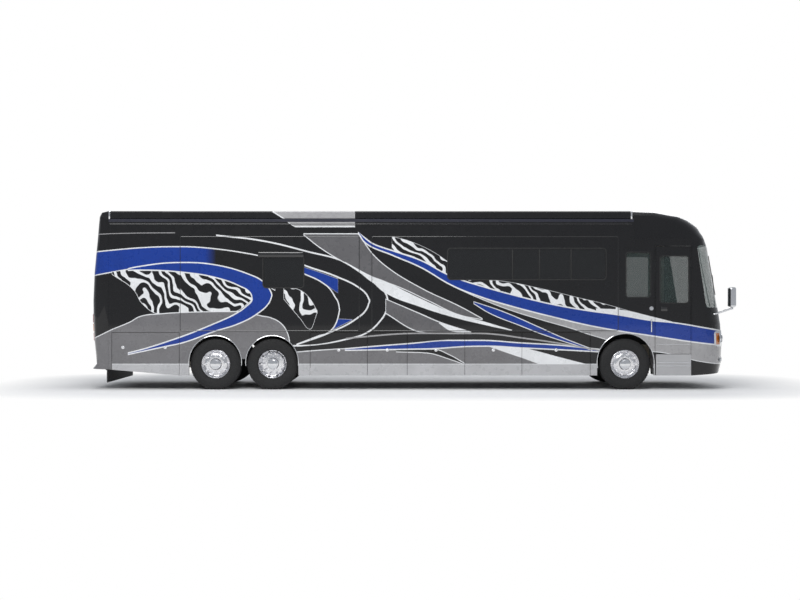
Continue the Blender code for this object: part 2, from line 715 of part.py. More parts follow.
def entry_step():
    """The stepped well below the entry door, seen from the front as a stair."""
    riser = (HALF_WIDTH - STEP_WELL_INNER) / 2
    rise = (FLOOR_BOTTOM - ENTRY_SILL) / 2
    tread = ENTRY_SILL - DOOR_GAP
    top = FLOOR_BOTTOM - SEAT_GAP
    under = STEP_WELL_INNER - riser / 2
    outline = [(-HALF_WIDTH, SKIRT_BOTTOM), (-HALF_WIDTH, tread), (riser - HALF_WIDTH, tread),
               (riser - HALF_WIDTH, tread + rise), (-STEP_WELL_INNER, tread + rise),
               (-STEP_WELL_INNER, top), (-under, top), (-under, tread), (-STEP_WELL_INNER, SKIRT_BOTTOM)]
    low, high = ENTRY_REAR + FASCIA_LAP, ENTRY_FRONT - SEAT_GAP
    return prism(outline, "x", low, high)


def roof():
    """The roof between the caps: a crowned slab with its side rails and three coolers."""
    crown_span = HALF_WIDTH - AWNING_DEPTH
    outside = [(share * crown_span, AWNING_TOP - AWNING_ROUND + (CROWN_TOP - AWNING_TOP + AWNING_ROUND) * rise)
               for share, rise in ((-1, 0), (-0.6, 0.7), (0, 1), (0.6, 0.7), (1, 0))]
    shelf = AWNING_BASE - SEAT_GAP
    foot = WALL_TOP + SEAT_GAP
    inside = HALF_WIDTH - ROOF_SIDE_THICKNESS
    ceiling = AWNING_TOP - AWNING_ROUND - ROOF_THICKNESS
    left = [(crown_span, AWNING_TOP), (HALF_WIDTH - AWNING_ROUND, AWNING_TOP),
            (HALF_WIDTH, AWNING_TOP - AWNING_ROUND), (HALF_WIDTH, foot)]
    under = [(inside, foot), (crown_span - ROOF_THICKNESS, ceiling),
             (0, CROWN_TOP - ROOF_THICKNESS), (ROOF_THICKNESS - crown_span, ceiling),
             (ROOF_THICKNESS - crown_span, foot)]
    right = [(-HALF_WIDTH, foot), (-HALF_WIDTH, shelf), (-crown_span, shelf)]
    slab = prism([*outside, *left, *under, *right], "x", REAR_SEAM + SEAT_GAP, BROW_END - SEAT_GAP)
    coolers = [cooler(REAR_SEAM + (BROW_END - REAR_SEAM) * share) for share in COOLER_SHARES]
    return union(slab, *coolers)


def cooler(place):
    """The low, tapered shroud of one roof air conditioner."""
    shape = bmesh.new()
    levels = []
    for height, slope in ((CROWN_TOP - ROOF_THICKNESS / 2, 0), (CROWN_TOP + COOLER_HEIGHT, COOLER_SLOPE)):
        corners = rounded(rectangle(place - COOLER_LENGTH / 2, place + COOLER_LENGTH / 2,
                                    -COOLER_WIDTH / 2, COOLER_WIDTH / 2, slope), PANE_RADIUS)
        levels.append([shape.verts.new((*corner, height)) for corner in corners])
    for verts in levels:
        shape.faces.new(verts)
    for i in range(len(levels[0])):
        shape.faces.new((levels[0][i - 1], levels[0][i], levels[1][i], levels[1][i - 1]))
    bmesh.ops.recalc_face_normals(shape, faces=shape.faces)
    return shape


def awning():
    """The rolled awning's long housing along the right edge of the roof."""
    inner = HALF_WIDTH - AWNING_DEPTH + SEAT_GAP
    outline = [(-inner, AWNING_BASE), (AWNING_ROUND - HALF_WIDTH, AWNING_BASE),
               (-HALF_WIDTH, AWNING_BASE + AWNING_ROUND), (-HALF_WIDTH, AWNING_TOP - AWNING_ROUND),
               (AWNING_ROUND - HALF_WIDTH, AWNING_TOP), (-inner, AWNING_TOP)]
    return prism(outline, "x", REAR_SEAM + SEAT_GAP, BROW_END - AWNING_FRONT_GAP)


def rail_ladder():
    """The two rails and their cross members, the engine's bay left open."""
    stations = [RAIL_TAIL + (RAIL_NOSE - RAIL_TAIL) * share for share in CROSS_MEMBER_SHARES]
    half = CROSS_MEMBER_WIDTH / 2
    holes = [rectangle(here + half, there - half, -RAIL_INNER, RAIL_INNER)
             for here, there in zip(stations, stations[1:])]
    outline = rectangle(RAIL_TAIL, RAIL_NOSE + half, -RAIL_OUTER, RAIL_OUTER)
    return prism(outline, "z", RAIL_BOTTOM, RAIL_TOP, holes)


def receiver():
    """The hitch receiver: a square socket under the tail on a hanger from the rear cross member."""
    half = RECEIVER_SIZE / 2
    near = RAIL_TAIL + RECEIVER_HANGER
    hanger = prism(rectangle(RAIL_TAIL + RECEIVER_CLEARANCE, near - RECEIVER_CLEARANCE, RECEIVER_HEIGHT,
                             RAIL_BOTTOM + OVERRUN), "y", RECEIVER_CLEARANCE - half, half - RECEIVER_CLEARANCE)
    tube = prism(rectangle(RAIL_TAIL - RECEIVER_REACH, near, RECEIVER_HEIGHT - half, RECEIVER_HEIGHT + half),
                 "y", -half, half)
    bore = prism(rectangle(-RECEIVER_BORE / 2, RECEIVER_BORE / 2, RECEIVER_HEIGHT - RECEIVER_BORE / 2,
                           RECEIVER_HEIGHT + RECEIVER_BORE / 2), "x",
                 RAIL_TAIL - RECEIVER_REACH - OVERRUN, RAIL_TAIL)
    return cut(union(hanger, tube), bore)


def engine():
    """The engine as one plain block between the rails."""
    start = RAIL_TAIL + CROSS_MEMBER_WIDTH / 2 + ENGINE_TAIL_MARGIN
    end = RAIL_TAIL + (RAIL_NOSE - RAIL_TAIL) * CROSS_MEMBER_SHARES[1] - CROSS_MEMBER_WIDTH / 2 - ENGINE_TAIL_MARGIN
    outline = rectangle(start, end, SEAT_GAP - RAIL_INNER, RAIL_INNER - SEAT_GAP)
    return prism(outline, "z", ENGINE_BOTTOM, RAIL_TOP - ENGINE_DROP)


def basement_tray():
    """The bays' floor and the bulkheads between them, which hang from the rails."""
    seams = bay_seams()
    half = BULKHEAD_THICKNESS / 2
    floor = SKIRT_BOTTOM + TRAY_THICKNESS
    head = RAIL_BOTTOM - SEAT_GAP
    walls = [seams[0] + half, *seams[1:-1], seams[-1] - half]
    outline = [(walls[0] - half, SKIRT_BOTTOM), (walls[-1] + half, SKIRT_BOTTOM)]
    for i, wall in enumerate(reversed(walls)):
        foot_front = [] if i == 0 else [(wall + half, floor)]
        foot_rear = [] if i == len(walls) - 1 else [(wall - half, floor)]
        outline += [*foot_front, (wall + half, head), (wall - half, head), *foot_rear]
    return prism(outline, "y", -TRAY_HALF_WIDTH, TRAY_HALF_WIDTH)


def cabin_floor():
    """The floor of the cab and cabin, notched for the entry steps."""
    edge = INNER_WALL - SEAT_GAP
    rear = REAR_SEAM + SEAT_GAP
    outline = [(rear, -edge), (ENTRY_REAR, -edge), (ENTRY_REAR, -STEP_WELL_INNER),
               (ENTRY_FRONT, -STEP_WELL_INNER), (ENTRY_FRONT, -edge), (FRONT_SEAM, -edge),
               (FLOOR_NOSE, -FLOOR_NOSE_HALF_WIDTH), (FLOOR_NOSE, FLOOR_NOSE_HALF_WIDTH),
               (FRONT_SEAM, edge), (rear, edge)]
    return prism(outline, "z", FLOOR_BOTTOM, FLOOR_TOP)


def springs(axle):
    """The two air springs over an axle, up to the rails."""
    middle = (RAIL_INNER + RAIL_OUTER) / 2
    return [pin((axle, side * middle, TYRE_RADIUS), (axle, side * middle, RAIL_BOTTOM - SEAT_GAP), SPRING_RADIUS)
            for side in (RIGHT, LEFT)]


def front_axle():
    """The steered axle's beam, with a kingpin boss at each end."""
    beam = prism(rectangle(FRONT_AXLE - BEAM_HALF_WIDTH, FRONT_AXLE + BEAM_HALF_WIDTH,
                           TYRE_RADIUS - BEAM_HALF_HEIGHT, TYRE_RADIUS + BEAM_HALF_HEIGHT),
                 "y", -KINGPIN_PLACE, KINGPIN_PLACE)
    bosses = [pin((FRONT_AXLE, side * KINGPIN_PLACE, TYRE_RADIUS - BOSS_HALF_HEIGHT),
                  (FRONT_AXLE, side * KINGPIN_PLACE, TYRE_RADIUS + BOSS_HALF_HEIGHT), BOSS_RADIUS, 16)
              for side in (RIGHT, LEFT)]
    return union(beam, *bosses, *springs(FRONT_AXLE))


def axle_tube(axle, end):
    """A round axle beam across the coach, with its air springs."""
    tube = lathe([(0, -end), (AXLE_TUBE_RADIUS, -end), (AXLE_TUBE_RADIUS, end), (0, end)],
                 (axle, 0, TYRE_RADIUS), 1, 16)
    return union(tube, *springs(axle))


def drive_axle():
    """The driven axle's housing, swollen at the middle round the differential."""
    end = DUAL_PLACE - DUAL_HUB_BACK - SEAT_GAP
    slope = DIFFERENTIAL_HALF_WIDTH + DIFFERENTIAL_SLOPE
    half = [(0, end), (AXLE_TUBE_RADIUS, end), (AXLE_TUBE_RADIUS, slope),
            (DIFFERENTIAL_RADIUS, DIFFERENTIAL_HALF_WIDTH)]
    profile = half + [(radius, -offset) for radius, offset in reversed(half)]
    return union(lathe(profile, (DRIVE_AXLE, 0, TYRE_RADIUS), 1, 16), *springs(DRIVE_AXLE))


def knuckle(side):
    """A steering knuckle: a yoke round the kingpin boss, and the spindle it carries."""
    plate = KINGPIN_PLACE + BOSS_RADIUS + YOKE_CLEARANCE
    outer = plate + YOKE_THICKNESS
    inner = KINGPIN_PLACE - EAR_REACH
    gap = BOSS_HALF_HEIGHT + SEAT_GAP
    reach = gap + EAR_THICKNESS
    outline = [(inner, reach), (inner, gap), (plate, gap), (plate, -gap), (inner, -gap), (inner, -reach),
               (outer, -reach), (outer, reach)]
    yoke = prism([(side * across, TYRE_RADIUS + up) for across, up in outline], "x",
                 FRONT_AXLE - BEAM_HALF_WIDTH, FRONT_AXLE + BEAM_HALF_WIDTH)
    spindle = pin((FRONT_AXLE, side * (outer - YOKE_THICKNESS / 2), TYRE_RADIUS),
                  (FRONT_AXLE, side * (TYRE_PLACE - HUB_BACK - SEAT_GAP), TYRE_RADIUS), SPINDLE_RADIUS)
    return union(yoke, spindle)


def tyre(axle, place, side):
    """One tyre, its beads seated on the rim."""
    seat = RIM_RADIUS - FLANGE_DEPTH + SEAT_GAP
    bead = RIM_HALF_WIDTH - FLANGE_THICKNESS - SEAT_GAP
    wall = TYRE_RADIUS - RIM_RADIUS
    half = [(seat, bead), (RIM_RADIUS + SEAT_GAP * 2, bead),
            (RIM_RADIUS + wall * 0.24, TYRE_HALF_WIDTH * 0.97), (RIM_RADIUS + wall * 0.58, TYRE_HALF_WIDTH),
            (RIM_RADIUS + wall * 0.92, TYRE_HALF_WIDTH * 0.88), (TYRE_RADIUS, TYRE_HALF_WIDTH * 0.66)]
    profile = half + [(radius, -offset) for radius, offset in reversed(half)]
    return lathe(profile, (axle, side * place, TYRE_RADIUS), side)


# Wheel profiles, as shares of the rim's radius and half width
SINGLE_FACE_SHARES = ((0, 1.46), (0.20, 1.40), (0.28, 1.16), (0.55, 1.16), (0.845, 0.72))
SINGLE_BACK_SHARES = ((0.887, 0.50), (0.55, 0.90), (0.33, 0.90))
DUAL_FACE_SHARES = ((0, 2.0), (0.20, 1.95), (0.30, 1.70), (0.33, 0.24), (0.66, 0.24), (0.86, 0.70))
FLANGE_LIP_SHARE = 0.93


def flange(offset, facing):
    """The lip of a rim from its inside to the bead seat."""
    lip = offset + facing * RIM_HALF_WIDTH
    shoulder = lip - facing * FLANGE_THICKNESS
    return [(RIM_RADIUS * FLANGE_LIP_SHARE, lip), (RIM_RADIUS, lip), (RIM_RADIUS, shoulder),
            (RIM_RADIUS - FLANGE_DEPTH, shoulder)]


def in_rim(shares):
    return [(RIM_RADIUS * radius, RIM_HALF_WIDTH * offset) for radius, offset in shares]


def single_rim(axle, side):
    """A front or tag wheel, its disc crowned outwards over the hub."""
    back = -HUB_BACK
    hub = RIM_RADIUS * SINGLE_BACK_SHARES[-1][0]
    profile = [*in_rim(SINGLE_FACE_SHARES), *flange(0, 1), *reversed(flange(0, -1)),
               *in_rim(SINGLE_BACK_SHARES), (hub, back), (0, back)]
    return lathe(profile, (axle, side * TYRE_PLACE, TYRE_RADIUS), side)


def dual_rims(side):
    """The two rims of a driven pair, bolted disc to disc, as one turned piece."""
    hub = RIM_RADIUS * DUAL_FACE_SHARES[3][0]
    outer_half = [*flange(DUAL_OFFSET, 1), *reversed(flange(DUAL_OFFSET, -1))]
    inner_half = [*flange(-DUAL_OFFSET, 1), *reversed(flange(-DUAL_OFFSET, -1))]
    inside = [(radius, -offset) for radius, offset in reversed(in_rim(DUAL_FACE_SHARES[4:]))]
    profile = [*in_rim(DUAL_FACE_SHARES), *outer_half, *inner_half, *inside,
               (hub, -DUAL_HUB_BACK), (0, -DUAL_HUB_BACK)]
    return lathe(profile, (DRIVE_AXLE, side * DUAL_PLACE, TYRE_RADIUS), side)


def rock_guard():
    """The full-width flap behind the wheels, hung from the ends of the rails round the receiver."""
    slot = RECEIVER_SIZE / 2 + RECEIVER_CLEARANCE
    foot = RECEIVER_HEIGHT - slot
    outline = [(-GUARD_HALF_WIDTH, GUARD_BOTTOM), (GUARD_HALF_WIDTH, GUARD_BOTTOM), (GUARD_HALF_WIDTH, GUARD_TOP),
               (RAIL_OUTER, GUARD_TOP), (RAIL_OUTER, RAIL_TOP), (RAIL_INNER, RAIL_TOP), (RAIL_INNER, GUARD_TOP),
               (slot, GUARD_TOP), (slot, foot), (-slot, foot), (-slot, GUARD_TOP),
               (-RAIL_INNER, GUARD_TOP), (-RAIL_INNER, RAIL_TOP), (-RAIL_OUTER, RAIL_TOP),
               (-RAIL_OUTER, GUARD_TOP), (-GUARD_HALF_WIDTH, GUARD_TOP)]
    back = RAIL_TAIL - SEAT_GAP
    return prism(outline, "x", back - GUARD_THICKNESS, back)


def mirror(side):
    """An outside mirror on its arm, the arm's root shaped to the nose that carries it."""
    root = Vector((MIRROR_ROOT[0], side * MIRROR_ROOT[1], MIRROR_ROOT[2]))
    elbow = Vector((MIRROR_ELBOW[0], side * MIRROR_ELBOW[1], MIRROR_ELBOW[2]))
    head = bmesh.new()
    centre = elbow + Vector((0, 0, MIRROR_HEAD_HEIGHT / 2 + MIRROR_ARM_RADIUS))
    size = (MIRROR_HEAD_LENGTH, MIRROR_HEAD_WIDTH, MIRROR_HEAD_HEIGHT)
    bmesh.ops.create_cube(head, size=1, matrix=Matrix.Translation(centre) @ Matrix.Diagonal((*size, 1)))
    bmesh.ops.bevel(head, geom=head.edges[:], offset=MIRROR_BEVEL, segments=2, affect="EDGES", profile=0.5)
    shape = union(pin(root, elbow, MIRROR_ARM_RADIUS),
                  pin(elbow - Vector((0, 0, MIRROR_ARM_RADIUS)), centre, MIRROR_ARM_RADIUS), head)
    return cut(shape, cap_shell(NOSE_RIBS, -SEAT_GAP, WALL_THICKNESS * 4))


def seat(back, place):
    """A captain's chair on its post."""
    foot = FLOOR_TOP + SEAT_GAP
    base = foot + SEAT_HEIGHT - SEAT_CUSHION
    near, far = (back + SEAT_DEPTH * share for share in SEAT_POST_SHARES)
    outline = [(near, foot), (far, foot), (far, base), (back + SEAT_DEPTH, base),
               (back + SEAT_DEPTH, base + SEAT_CUSHION), (back + SEAT_BACK_THICKNESS, base + SEAT_CUSHION),
               (back, foot + SEAT_BACK_HEIGHT), (back - SEAT_BACK_THICKNESS, foot + SEAT_BACK_HEIGHT),
               (back, base), (near, base)]
    return prism(outline, "y", place - SEAT_WIDTH / 2, place + SEAT_WIDTH / 2)


def dashboard():
    foot = FLOOR_TOP + SEAT_GAP
    top = foot + DASH_HEIGHT
    outline = [(DASH_REAR + DASH_SLOPE, foot), (DASH_FRONT, foot), (DASH_FRONT, top),
               (DASH_REAR + DASH_SLOPE, top), (DASH_REAR, top - DASH_SLOPE)]
    return prism(outline, "y", -STEP_WELL_INNER + SEAT_GAP, DASH_HALF_WIDTH)


def build_fixed():
    """Everything that the coach carries without a joint."""
    node("chassis_frame", union(rail_ladder(), receiver()), "steel")
    node("engine_block", engine(), "steel")
    node("front_axle_beam", front_axle(), "steel")
    node("drive_axle_housing", drive_axle(), "steel")
    node("tag_axle_beam", axle_tube(TAG_AXLE, TYRE_PLACE - HUB_BACK - SEAT_GAP), "steel")
    node("basement_tray", basement_tray(), "steel")
    node("cabin_floor", cabin_floor(), "trim")
    node("entry_step", entry_step(), "silver")
    node("roof", roof(), "white")
    node("awning_housing", awning(), "navy")
    nose = cut(cap_shell(NOSE_RIBS, 0, WALL_THICKNESS), screen_block(0), lamp_block(RIGHT, 0), lamp_block(LEFT, 0))
    node("front_cap", nose, "blue")
    node("rear_cap", cut(cap_shell(TAIL_RIBS, 0, WALL_THICKNESS), hatch_block(0)), "black")
    glass = cap_shell(NOSE_RIBS, SCREEN_INSET, SCREEN_INSET + SCREEN_THICKNESS)
    node("windscreen", combine(glass, screen_block(SEAT_GAP), "INTERSECT"), "glass")
    node("rock_guard", rock_guard(), "rubber")
    node("dashboard", dashboard(), "trim")
    node("driver_seat", seat(DRIVER_SEAT_BACK, SEAT_PLACE), "leather")
    node("passenger_seat", seat(PASSENGER_SEAT_BACK, -SEAT_PLACE), "leather")
    for side, word in ((RIGHT, "right"), (LEFT, "left")):
        node(f"sidewall_{word}", side_wall(side), "black")
        node(f"cab_window_{word}", cab_pane(side), "glass")
        node(f"mirror_{word}", mirror(side), "alloy")
        lamp = cap_shell(NOSE_RIBS, -LAMP_PROUD, LAMP_DEPTH)
        node(f"headlamp_{word}", combine(lamp, lamp_block(side, SEAT_GAP), "INTERSECT"), "lamp")


def build_wheels():
    """Knuckles, rims and tyres, each on its own turning line."""
    for side, word in ((RIGHT, "right"), (LEFT, "left")):
        kingpin = node(f"knuckle_{word}", knuckle(side), "steel", (FRONT_AXLE, side * KINGPIN_PLACE, TYRE_RADIUS))
        for name, axle, parent in (("front", FRONT_AXLE, kingpin), ("tag", TAG_AXLE, None)):
            hub = (axle, side * TYRE_PLACE, TYRE_RADIUS)
            rim = node(f"{name}_rim_{word}", single_rim(axle, side), "alloy", hub, parent)
            node(f"{name}_tyre_{word}", tyre(axle, TYRE_PLACE, side), "rubber", hub, rim)
        hub = (DRIVE_AXLE, side * DUAL_PLACE, TYRE_RADIUS)
        rims = node(f"drive_rims_{word}", dual_rims(side), "alloy", hub)
        for row, place in (("outer", DUAL_PLACE + DUAL_OFFSET), ("inner", DUAL_PLACE - DUAL_OFFSET)):
            node(f"drive_tyre_{row}_{word}", tyre(DRIVE_AXLE, place, side), "rubber", hub, rims)


def build_doors():
    """Bay doors, the engine's two doors and the entry door, each pivoted at its pins."""
    for bay in range(len(BAY_SHARES)):
        node(f"bay_door_right_{bay + 1}", *door_parts(bay_door(RIGHT, bay), "grey"))
    for number, bay in enumerate(LEFT_DOOR_BAYS):
        node(f"bay_door_left_{number + 1}", *door_parts(bay_door(LEFT, bay), "grey"))
    node("engine_side_door", *door_parts(engine_side_door(), "grey"))
    node("engine_hatch", *door_parts(engine_hatch(), "black"))
    shape, pivot = entry_door()
    door = node("entry_door", shape, "black", pivot)
    node("entry_door_glass", entry_pane(), "glass", pivot, door)


def door_parts(shape_and_pivot, finish):
    shape, pivot = shape_and_pivot
    return shape, finish, pivot


def build_rooms():
    """The slide-out rooms with their panes."""
    rooms = (("right_rear", RIGHT, RIGHT_SLIDE_SHARES[0], REAR_ROOM_WINDOW_SHARES),
             ("right_front", RIGHT, RIGHT_SLIDE_SHARES[1], FRONT_ROOM_WINDOW_SHARES),
             ("left", LEFT, LEFT_SLIDE_SHARES[0], LEFT_ROOM_WINDOW_SHARES))
    for word, side, shares, window_shares in rooms:
        pivot = (sum(slide_span(shares)) / 2, side * HALF_WIDTH, SLIDE_BASE)
        room = node(f"slideout_{word}", slide_room(side, shares, window_shares), "black", pivot)
        node(f"slideout_{word}_glass", slide_pane(side, shares, window_shares), "glass", pivot, room)


def main():
    clear_scene()
    build_fixed()
    build_wheels()
    build_doors()
    build_rooms()


main()
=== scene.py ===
import json
import math

import bmesh
import bpy
from mathutils import Matrix, Vector
from mathutils.bvhtree import BVHTree

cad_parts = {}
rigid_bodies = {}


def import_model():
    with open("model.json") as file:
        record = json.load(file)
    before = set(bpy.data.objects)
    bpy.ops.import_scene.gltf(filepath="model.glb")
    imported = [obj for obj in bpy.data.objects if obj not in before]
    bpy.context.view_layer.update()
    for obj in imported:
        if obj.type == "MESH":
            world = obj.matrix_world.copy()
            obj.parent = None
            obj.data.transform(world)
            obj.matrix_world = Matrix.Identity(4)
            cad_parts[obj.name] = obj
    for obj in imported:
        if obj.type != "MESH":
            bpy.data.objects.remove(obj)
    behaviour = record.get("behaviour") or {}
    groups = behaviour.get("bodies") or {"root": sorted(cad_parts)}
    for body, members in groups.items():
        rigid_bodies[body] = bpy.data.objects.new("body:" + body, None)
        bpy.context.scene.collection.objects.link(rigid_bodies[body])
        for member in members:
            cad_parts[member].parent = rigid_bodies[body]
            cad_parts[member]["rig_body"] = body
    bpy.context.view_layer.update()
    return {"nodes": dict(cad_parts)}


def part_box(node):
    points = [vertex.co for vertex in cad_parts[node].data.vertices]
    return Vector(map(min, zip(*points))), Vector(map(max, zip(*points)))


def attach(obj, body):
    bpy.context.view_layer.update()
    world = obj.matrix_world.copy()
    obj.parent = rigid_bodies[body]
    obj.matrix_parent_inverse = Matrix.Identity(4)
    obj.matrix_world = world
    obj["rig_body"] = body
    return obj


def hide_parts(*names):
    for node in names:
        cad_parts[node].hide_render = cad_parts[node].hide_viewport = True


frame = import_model()

# The photograph's scale: metres a pixel at the near side, and where the camera stands
PIXEL = 0.0211
CENTRE_PX = (400, 300)
CAMERA_PLACE = (-0.2375, -24.725, 1.893)
PAGE_TOP_PX, PAGE_FOOT_PX = 200, 400

RIGHT, LEFT = -1, 1
# How far the shadowed floor runs along and across the coach, and how far to its left it is centred
SHADOW_REACH = (9.5, 4.2)
SHADOW_CENTRE = 0.3
HALF_WIDTH = 1.275
FASCIA = 0.012
SIDE_BAND = 0.02
LINING_DEPTH = 0.055
TYRE_RADIUS = 0.536
AXLES = {"front": 4.5225, "drive": -2.9375, "tag": -4.1375}

# Colours as the photograph shows them, in linear light
BLACK = (0.003, 0.003, 0.004, 1)
NAVY = (0.010, 0.011, 0.024, 1)
BLUE = (0.0012, 0.034, 0.27, 1)
WHITE = (0.78, 0.79, 0.80, 1)
LIGHT = (0.36, 0.355, 0.36, 1)
GREY = (0.165, 0.162, 0.168, 1)
DARK_GREY = (0.115, 0.113, 0.118, 1)
SILVER = (0.46, 0.46, 0.47, 1)
LINING = (0.42, 0.37, 0.30, 1)

# Painted shapes: colour, pinstripe width, upper edge and lower edge, all in the photograph's pixels
DISC = (BLACK, 1.5, [(216, 236), (262, 241.5), (305, 251.7), (348, 264.4), (371, 281.6), (380.3, 288),
                     (386, 296), (387, 300.8)],
        [(216, 345), (300, 345), (346, 338.6), (367.6, 331.4), (379, 321.2), (385.4, 311), (387, 301.4)])
GREY_WEDGE = (DARK_GREY, 0.9, [(304, 234.2), (358, 234.2), (366, 246), (373, 255), (387, 267.6), (420, 288),
                               (460, 307), (482, 319)],
              [(304, 234.6), (322, 248.5), (348, 264), (372, 276.5), (400, 287), (430, 301), (458, 314),
               (482, 319.3)])
WHITE_WEDGE = (WHITE, 0.3, [(345, 262), (372, 276.5), (384, 281), (410, 293.8), (458, 314.8), (481, 321),
                            (512, 330.2)],
               [(345, 262.3), (371, 280.6), (384, 291.8), (420, 306.5), (457, 318), (482, 324),
                (512, 330.6)])
SIDE_TRIANGLE = (DARK_GREY, 1.0, [(386, 299.5), (420, 314.2), (439, 322.4), (471, 332.7)],
                 [(386, 312.9), (417, 330.7), (440, 332.9), (471, 333)])
WHITE_TRIANGLE = (WHITE, 0.2, [(439, 322.8), (455, 327.5), (471, 332.7)],
                  [(439, 323.2), (450, 330.5), (471, 333)])
LOW_GREY_REAR = (GREY, 0.9, [(84, 342), (95, 338), (112, 330), (130, 322.5), (140, 317), (162, 314.2),
                             (181, 313),
                             (241, 312), (262, 316.5), (270, 318), (281, 324), (287, 333), (289, 341)],
                 [(84, 400), (180, 400), (289, 400)])
LOW_GREY_MIDDLE = (GREY, 0.9, [(296, 352.5), (319, 350.7), (351, 349), (400, 349), (433, 349), (464, 346.5),
                               (490, 346), (524, 358.5), (544, 366)], [(296, 400), (400, 400), (544, 400)])
LOW_WHITE = (WHITE, 0.2, [(489, 346), (520, 347.3), (534, 350.5), (560, 357.5), (590, 365.2)],
             [(489, 346.4), (523.5, 358.2), (544, 364.5), (560, 365), (590, 366)])
LOW_STREAK = (BLACK, 0.8, [(396, 350), (433, 349.6), (450, 355.5), (464, 363.5)],
              [(396, 351.5), (430, 353), (450, 359), (464, 364)])
SILVER_BAND = (SILVER, 0.5, [(112, 364.3), (400, 364.3), (691, 364.3)],
               [(112, 400), (400, 400), (691, 400)])
FRONT_GREY = (LIGHT, 0.7, [(453, 285.6), (481, 296.5), (508, 305), (557, 317.6), (590, 325.3), (618, 330.3),
                           (652, 335.5), (695, 342), (745, 347.5)],
              [(453, 286), (481, 298.5), (508, 309), (545, 320.5), (570, 327.6), (589, 334), (604, 338.5),
               (640, 351), (656, 351.5), (672, 354), (700, 361), (745, 366)])
LOWER_LENS = (BLUE, 1.2, [(345, 349.4), (380, 346.4), (410, 344.1), (448, 341), (481, 341), (521, 343.5),
                          (557, 345.6), (600, 350)],
              [(345, 349.8), (410, 348.6), (435, 348), (465, 346), (489, 345.6), (521, 347.3), (557, 349),
               (600, 351.3)])
LITTLE_LEAF = (BLUE, 0.8, [(474, 302), (503, 312), (540, 328), (560, 337), (592, 349.5)],
               [(474, 303.4), (490, 313), (521, 325.5), (540, 333), (592, 350)])
RING_OUT = (BLACK, 1.5, [(296, 262.5), (305, 266.3), (336, 277.2), (360, 289.3), (366, 295),
                         (368.8, 300.6)],
            [(296, 344), (329, 332), (357, 317.3), (366, 308.5), (368.8, 301.2)])
RING_TOP_BLUE = (BLUE, 0.2, [(303, 267), (320, 272.5), (338, 279)], [(303, 273), (320, 281), (338, 293)])
RING_LOW_BLUE = (BLUE, 0.2, [(328, 331.5), (338, 319), (352, 319.5)], [(328, 332), (338, 327), (352, 320)])
RING_IN = (BLACK, 1.2, [(296, 271), (306, 275.3), (321.6, 282.9), (330, 290), (334.4, 297), (338, 304),
                        (338.9, 309.7)],
           [(296, 344), (318, 335.5), (329.3, 331), (335.7, 322.4), (338, 315), (338.9, 310.2)])
BLUE_REAR = (BLUE, 1.1, [(84, 253.5), (101.6, 251.7), (148.8, 247.8), (180.7, 247.2), (212.6, 249.1),
                         (250, 254.5),
                         (275, 260)], [(84, 276.5), (95, 274.6), (136, 267.6), (180.7, 263.1), (212.6, 265),
                                       (250, 275.3), (275, 290)])
C_OUT = (BLUE, 1.2, [(128, 269.4), (136, 267.6), (180.7, 263.1), (212.6, 265), (250, 275.3), (262, 281.5),
                     (268, 288), (270.6, 292.5), (271.3, 295)],
         [(128, 354), (161.5, 346.7), (184.5, 341.6), (212.6, 331.4), (240, 322.5), (256.6, 313.5),
          (268, 303.3),
          (270.6, 298), (271.3, 295.5)])
C_IN = (BLUE, 1.2, [(110, 272), (133.5, 269.5), (180.7, 271.4), (219, 277.8), (240, 285.5), (250.2, 291.8),
                    (252.4, 296), (252.8, 299.3)],
        [(110, 357), (129.6, 353.2), (161.5, 344.1), (212.6, 325), (240.6, 311.5), (247.7, 305.9),
         (251.8, 302),
         (252.8, 299.8)])
MAIN_BAND = (BLUE, 1.3, [(359, 232.6), (366, 239.6), (373, 244.4), (393, 251.5), (420, 260.8), (447, 275),
                         (461, 280.5),
                         (481, 286.7), (521, 297.6), (557, 305.9), (590, 311.6), (618, 315.4), (652, 321.2),
                         (672, 323.1), (715, 330.1), (745, 334.5)],
             [(359, 233.2), (367, 243.4), (393, 254.8), (420, 266.3), (453, 285.2), (481, 296.3),
              (508, 304.6),
              (557, 317.3), (590, 325), (618, 330.1), (652, 335.2), (695, 341.6), (745, 347)])
FRONT_WHITE = (WHITE, 0.2, [(596, 308.5), (625, 310.5), (651.6, 316.7), (672, 321.8)],
               [(596, 311.5), (618, 314.7), (651.6, 320.6), (672, 323)])
SWIRL_REAR = (WHITE, 0.5, [(112, 272), (140, 269), (181, 272), (219, 278.5), (240, 286), (250, 293),
                           (252, 298)],
              [(112, 274), (134, 290), (142, 303), (160, 313.5), (181, 312.6), (235, 311.5), (252, 300)])
SWIRL_WHEEL = (WHITE, 0.4, [(284, 288), (297, 289), (310, 299), (317, 311)],
               [(284, 299), (300, 318), (310, 329), (317, 313)])
SWIRL_HIGH = (WHITE, 0.3, [(392, 236.5), (410, 241.5), (434, 252.5), (448, 262)],
              [(392, 250), (420, 259.5), (435, 268), (448, 274.6)])
SWIRL_LONG = (WHITE, 0.3, [(462, 279.5), (500, 281), (540, 288.5), (575, 297), (610, 305.5), (640, 314.5)],
              [(462, 281), (481, 286.5), (521, 297.4), (557, 305.7), (590, 311.4), (640, 318.8)])
LONG_LINE = [(346, 338.6), (361, 337), (420, 333.3), (471, 333.3), (492, 334), (521, 337.8), (557, 342.9),
             (600, 350.6)]
HIGH_LINE = [(86, 235), (98, 234.2), (140, 233), (175, 232.8)]
ROOF_PANEL = (LIGHT, 1.2, [(273, 205), (320, 205), (355, 205)],
              [(273, 211), (284, 218), (296, 226), (355, 226)])


def along(pixel):
    """A place along the coach, from a pixel column."""
    return (pixel - CENTRE_PX[0]) * PIXEL + CAMERA_PLACE[0]


def height(pixel):
    """A height above the ground, from a pixel row."""
    return CAMERA_PLACE[2] - (pixel - CENTRE_PX[1]) * PIXEL


